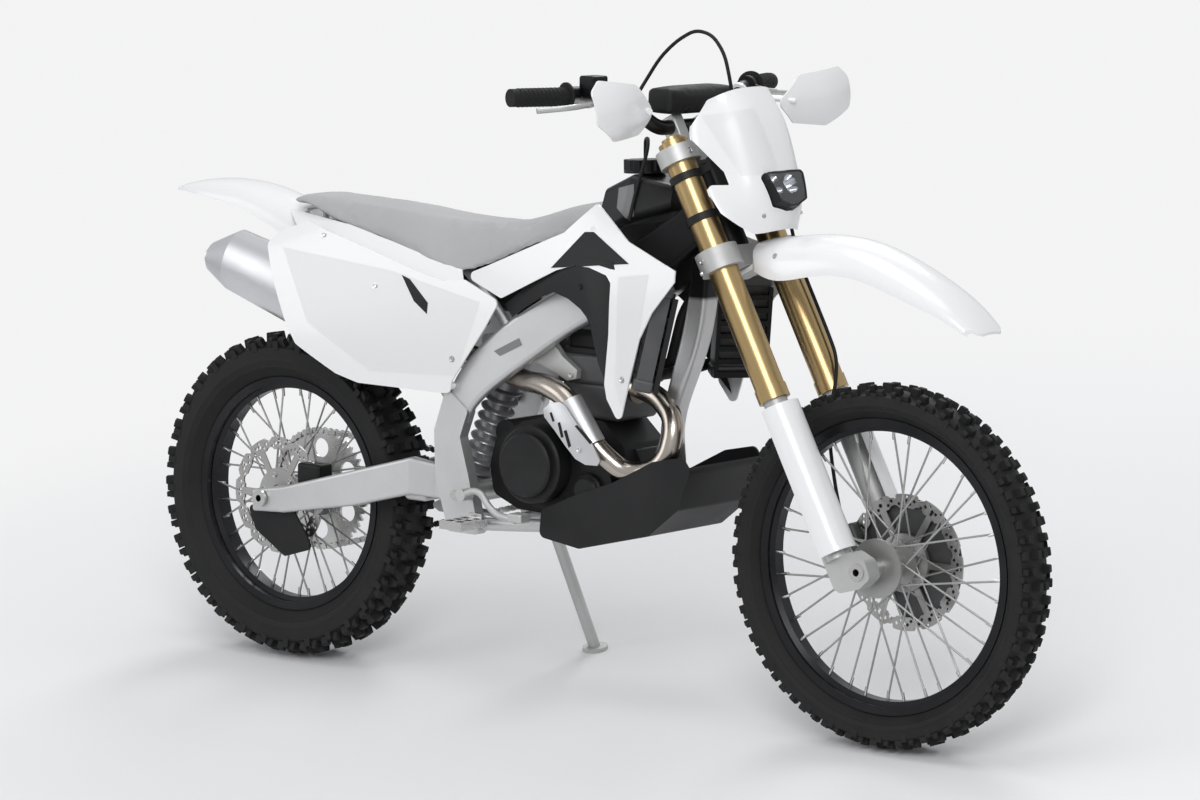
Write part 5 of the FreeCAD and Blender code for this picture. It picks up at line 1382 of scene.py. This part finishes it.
@dataclass
class Lamp:
    """The headlamp: a dark body, two bright reflectors and a clear lens over them."""

    centre_up: float = 740.0
    face_ahead: float = 162.0
    apart: float = 24.0
    bowl_radius: float = 19.0
    body_wall: float = 0.0035
    lens_wall: float = 0.0022
    lens_sink: float = 0.0008
    front_facing: float = 0.6

    def reflector(self, bm: Mesh, y: float) -> None:
        """Add one bowl that opens ahead, in the fork's frame.

        Args:
            bm: The mesh that gets it.
            y: Its place across the lamp, in millimetres.
        """
        radius = self.bowl_radius
        outline = ((-26.0, 0.5), (-24.0, radius * 0.45), (-17.0, radius * 0.75), (-4.0, radius),
                   (-5.5, radius + 1.5), (-20.0, radius * 0.75 + 2.0), (-28.0, radius * 0.45),
                   (-29.0, 0.5))
        turned_ring(bm, outline, mm(self.face_ahead, y, self.centre_up),
                    Vector((1.0, 0.0, 0.0)), 32)

    def build(self, surfaces: Surfaces) -> None:
        """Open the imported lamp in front, and put the reflectors and the lens in it.

        Args:
            surfaces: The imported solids.
        """
        bm = solid_mesh(surfaces.nodes["headlamp"])
        bm.transform(FORK.inverted() @ UPRIGHT)
        lens = bm.copy()
        place = PARK @ FORK
        for mesh, wall, front in ((bm, self.body_wall, False), (lens, self.lens_wall, True)):
            gone = [face for face in mesh.faces if (face.normal.x > self.front_facing) != front]
            bmesh.ops.delete(mesh, geom=gone, context="FACES")
            if front:
                for vert in mesh.verts:
                    vert.co.x -= self.lens_sink
            bmesh.ops.solidify(mesh, geom=mesh.faces[:], thickness=wall)
            bmesh.ops.recalc_face_normals(mesh, faces=mesh.faces[:])
        body = piece_from(bm, "lamp_body", BLACK, "steering", place)
        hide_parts("headlamp")
        piece_from(lens, "lamp_lens", LENS, "steering", place)
        bowls = bmesh.new()
        self.reflector(bowls, -self.apart)
        self.reflector(bowls, self.apart)
        piece_from(bowls, "lamp_reflectors", CHROME, "steering", place)


@dataclass
class Chain:
    """The drive chain: pairs of side plates with a roller between them, link by link."""

    pitch: float = 15.875
    rear_teeth: int = 48
    front_teeth: int = 13
    front: Vector = field(default_factory=lambda: mm(592.0, 73.0, 402.0))
    rear: Vector = field(default_factory=lambda: mm(0.0, 73.0, 334.0))
    end_radius: float = 6.4
    plate_width: float = 1.7
    waist_share: float = 0.8
    waist_width: float = 1.62
    waist_height: float = 8.2
    inner_reach: float = 4.9
    outer_reach: float = 6.9
    roller_radius: float = 3.9
    roller_width: float = 15.9
    sprocket: Outline = ((-3.0, 12.0), (3, 12), (3.0, 27.5), (-3.0, 27.5))

    def route(self) -> list[Vector]:
        """Return the pins' places round both sprockets, evenly spaced."""
        big = self.pitch / 2.0 / math.sin(math.pi / self.rear_teeth) * MM
        small = self.pitch / 2.0 / math.sin(math.pi / self.front_teeth) * MM
        run = self.front - self.rear
        slope = math.atan2(run.z, run.x)
        spread = math.acos((big - small) / run.length)
        straight = math.sqrt(run.length ** 2 - (big - small) ** 2)
        legs = [straight, small * 2.0 * spread, straight, big * 2.0 * (math.pi - spread)]
        top, low = slope + spread, slope - spread

        def spot(centre: Vector, angle: float, radius: float) -> Vector:
            """Return a place on a sprocket's pitch circle."""
            return centre + Vector((math.cos(angle), 0.0, math.sin(angle))) * radius

        pins = []
        count = round(sum(legs) / (self.pitch * MM))
        for index in range(count):
            way, leg = sum(legs) * index / count, 0
            while leg < 3 and way >= legs[leg]:
                way -= legs[leg]
                leg += 1
            if leg == 0:
                start, end = spot(self.rear, top, big), spot(self.front, top, small)
                pins.append(start.lerp(end, way / straight))
            elif leg == 1:
                pins.append(spot(self.front, top - way / small, small))
            elif leg == 2:
                start, end = spot(self.front, low, small), spot(self.rear, low, big)
                pins.append(start.lerp(end, way / straight))
            else:
                pins.append(spot(self.rear, low - way / big, big))
        return pins

    def plate(self, bm: Mesh, start: Vector, end: Vector, y: float) -> None:
        """Add one side plate between two pins.

        Args:
            bm: The mesh that gets it.
            start: The first pin.
            end: The second pin.
            y: How far to the left of the pins' middle it is, in millimetres.
        """
        way = (end - start).normalized()
        angle = math.atan2(way.z, way.x)
        aside = Vector((0.0, y * MM, 0.0))
        for pin in (start, end):
            at = Matrix.Translation(pin + aside) @ Matrix.Rotation(math.pi / 2.0, 4, "X")
            rod(bm, at, (self.end_radius, self.end_radius), self.plate_width, 10)
        turn = Matrix.Translation((start + end) / 2.0 + aside) @ Matrix.Rotation(-angle, 4, "Y")
        block(bm, (self.pitch * self.waist_share, self.waist_width, self.waist_height), turn)

    def build(self) -> Piece:
        """Make the links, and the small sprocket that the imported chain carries."""
        bm = bmesh.new()
        pins = self.route()
        for index, pin in enumerate(pins):
            reach = self.outer_reach if index % 2 else self.inner_reach
            for y in (-reach, reach):
                self.plate(bm, pin, pins[(index + 1) % len(pins)], y)
            at = Matrix.Translation(pin) @ Matrix.Rotation(math.pi / 2.0, 4, "X")
            rod(bm, at, (self.roller_radius, self.roller_radius), self.roller_width, 10)
        turned_ring(bm, self.sprocket, self.front, LEFT, 26)
        piece = piece_from(bm, "chain_links", STEEL, "chassis")
        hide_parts("chain")
        return piece


# The whole machine


def dress_nodes(nodes: dict[str, Piece]) -> None:
    """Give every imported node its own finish.

    Args:
        nodes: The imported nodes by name.
    """
    for name, node in nodes.items():
        material = NODE_FINISHES[name].material()
        for slot in node.material_slots:
            slot.link = "OBJECT"
            slot.material = material
        if not node.material_slots:
            node.data.materials.append(material)


def main() -> None:
    """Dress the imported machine, piece by piece."""
    logging.basicConfig(level=logging.INFO, format="%(name)s: %(message)s")
    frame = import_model()
    nodes = frame["nodes"]
    studio = Studio()
    studio.build()
    dress_nodes(nodes)
    surfaces = Surfaces(studio, nodes)
    Tyre("front_tyre", "front_wheel", FRONT_AXLE, 345.0, 90.0, 279.0, 52.0, 14.0, 36).build()
    Tyre("rear_tyre", "rear_wheel", REAR_AXLE, 334.0, 114.0, 241.0, 66.0, 17.0, 32).build()
    Pad("seat", "chassis", SEAT, "seat_cover").build(nodes)
    Pad("bar_pad", "steering", RUBBER, "rubber", voxel=0.004, swell=0.003, shrink=0.002,
        passes=14).build(nodes)
    Nipples("front_nipples", "front_wheel", FRONT_AXLE, 254.0).build()
    Nipples("rear_nipples", "rear_wheel", REAR_AXLE, 216.0).build()
    Rotor("front_disc", "front_wheel", FRONT_AXLE, 130.0, 28).build(nodes)
    Rotor("rear_disc", "rear_wheel", REAR_AXLE, 120.0, 24).build(nodes)
    Chain().build()
    Lamp().build(surfaces)
    Grips().build(surfaces)
    Fasteners().build(surfaces)
    for overlay in OVERLAYS:
        overlay.build(surfaces)
    TailSides().build(surfaces)
    for plate in SIDE_PLATES:
        plate.build(studio)


if __name__ == "__main__":
    main()
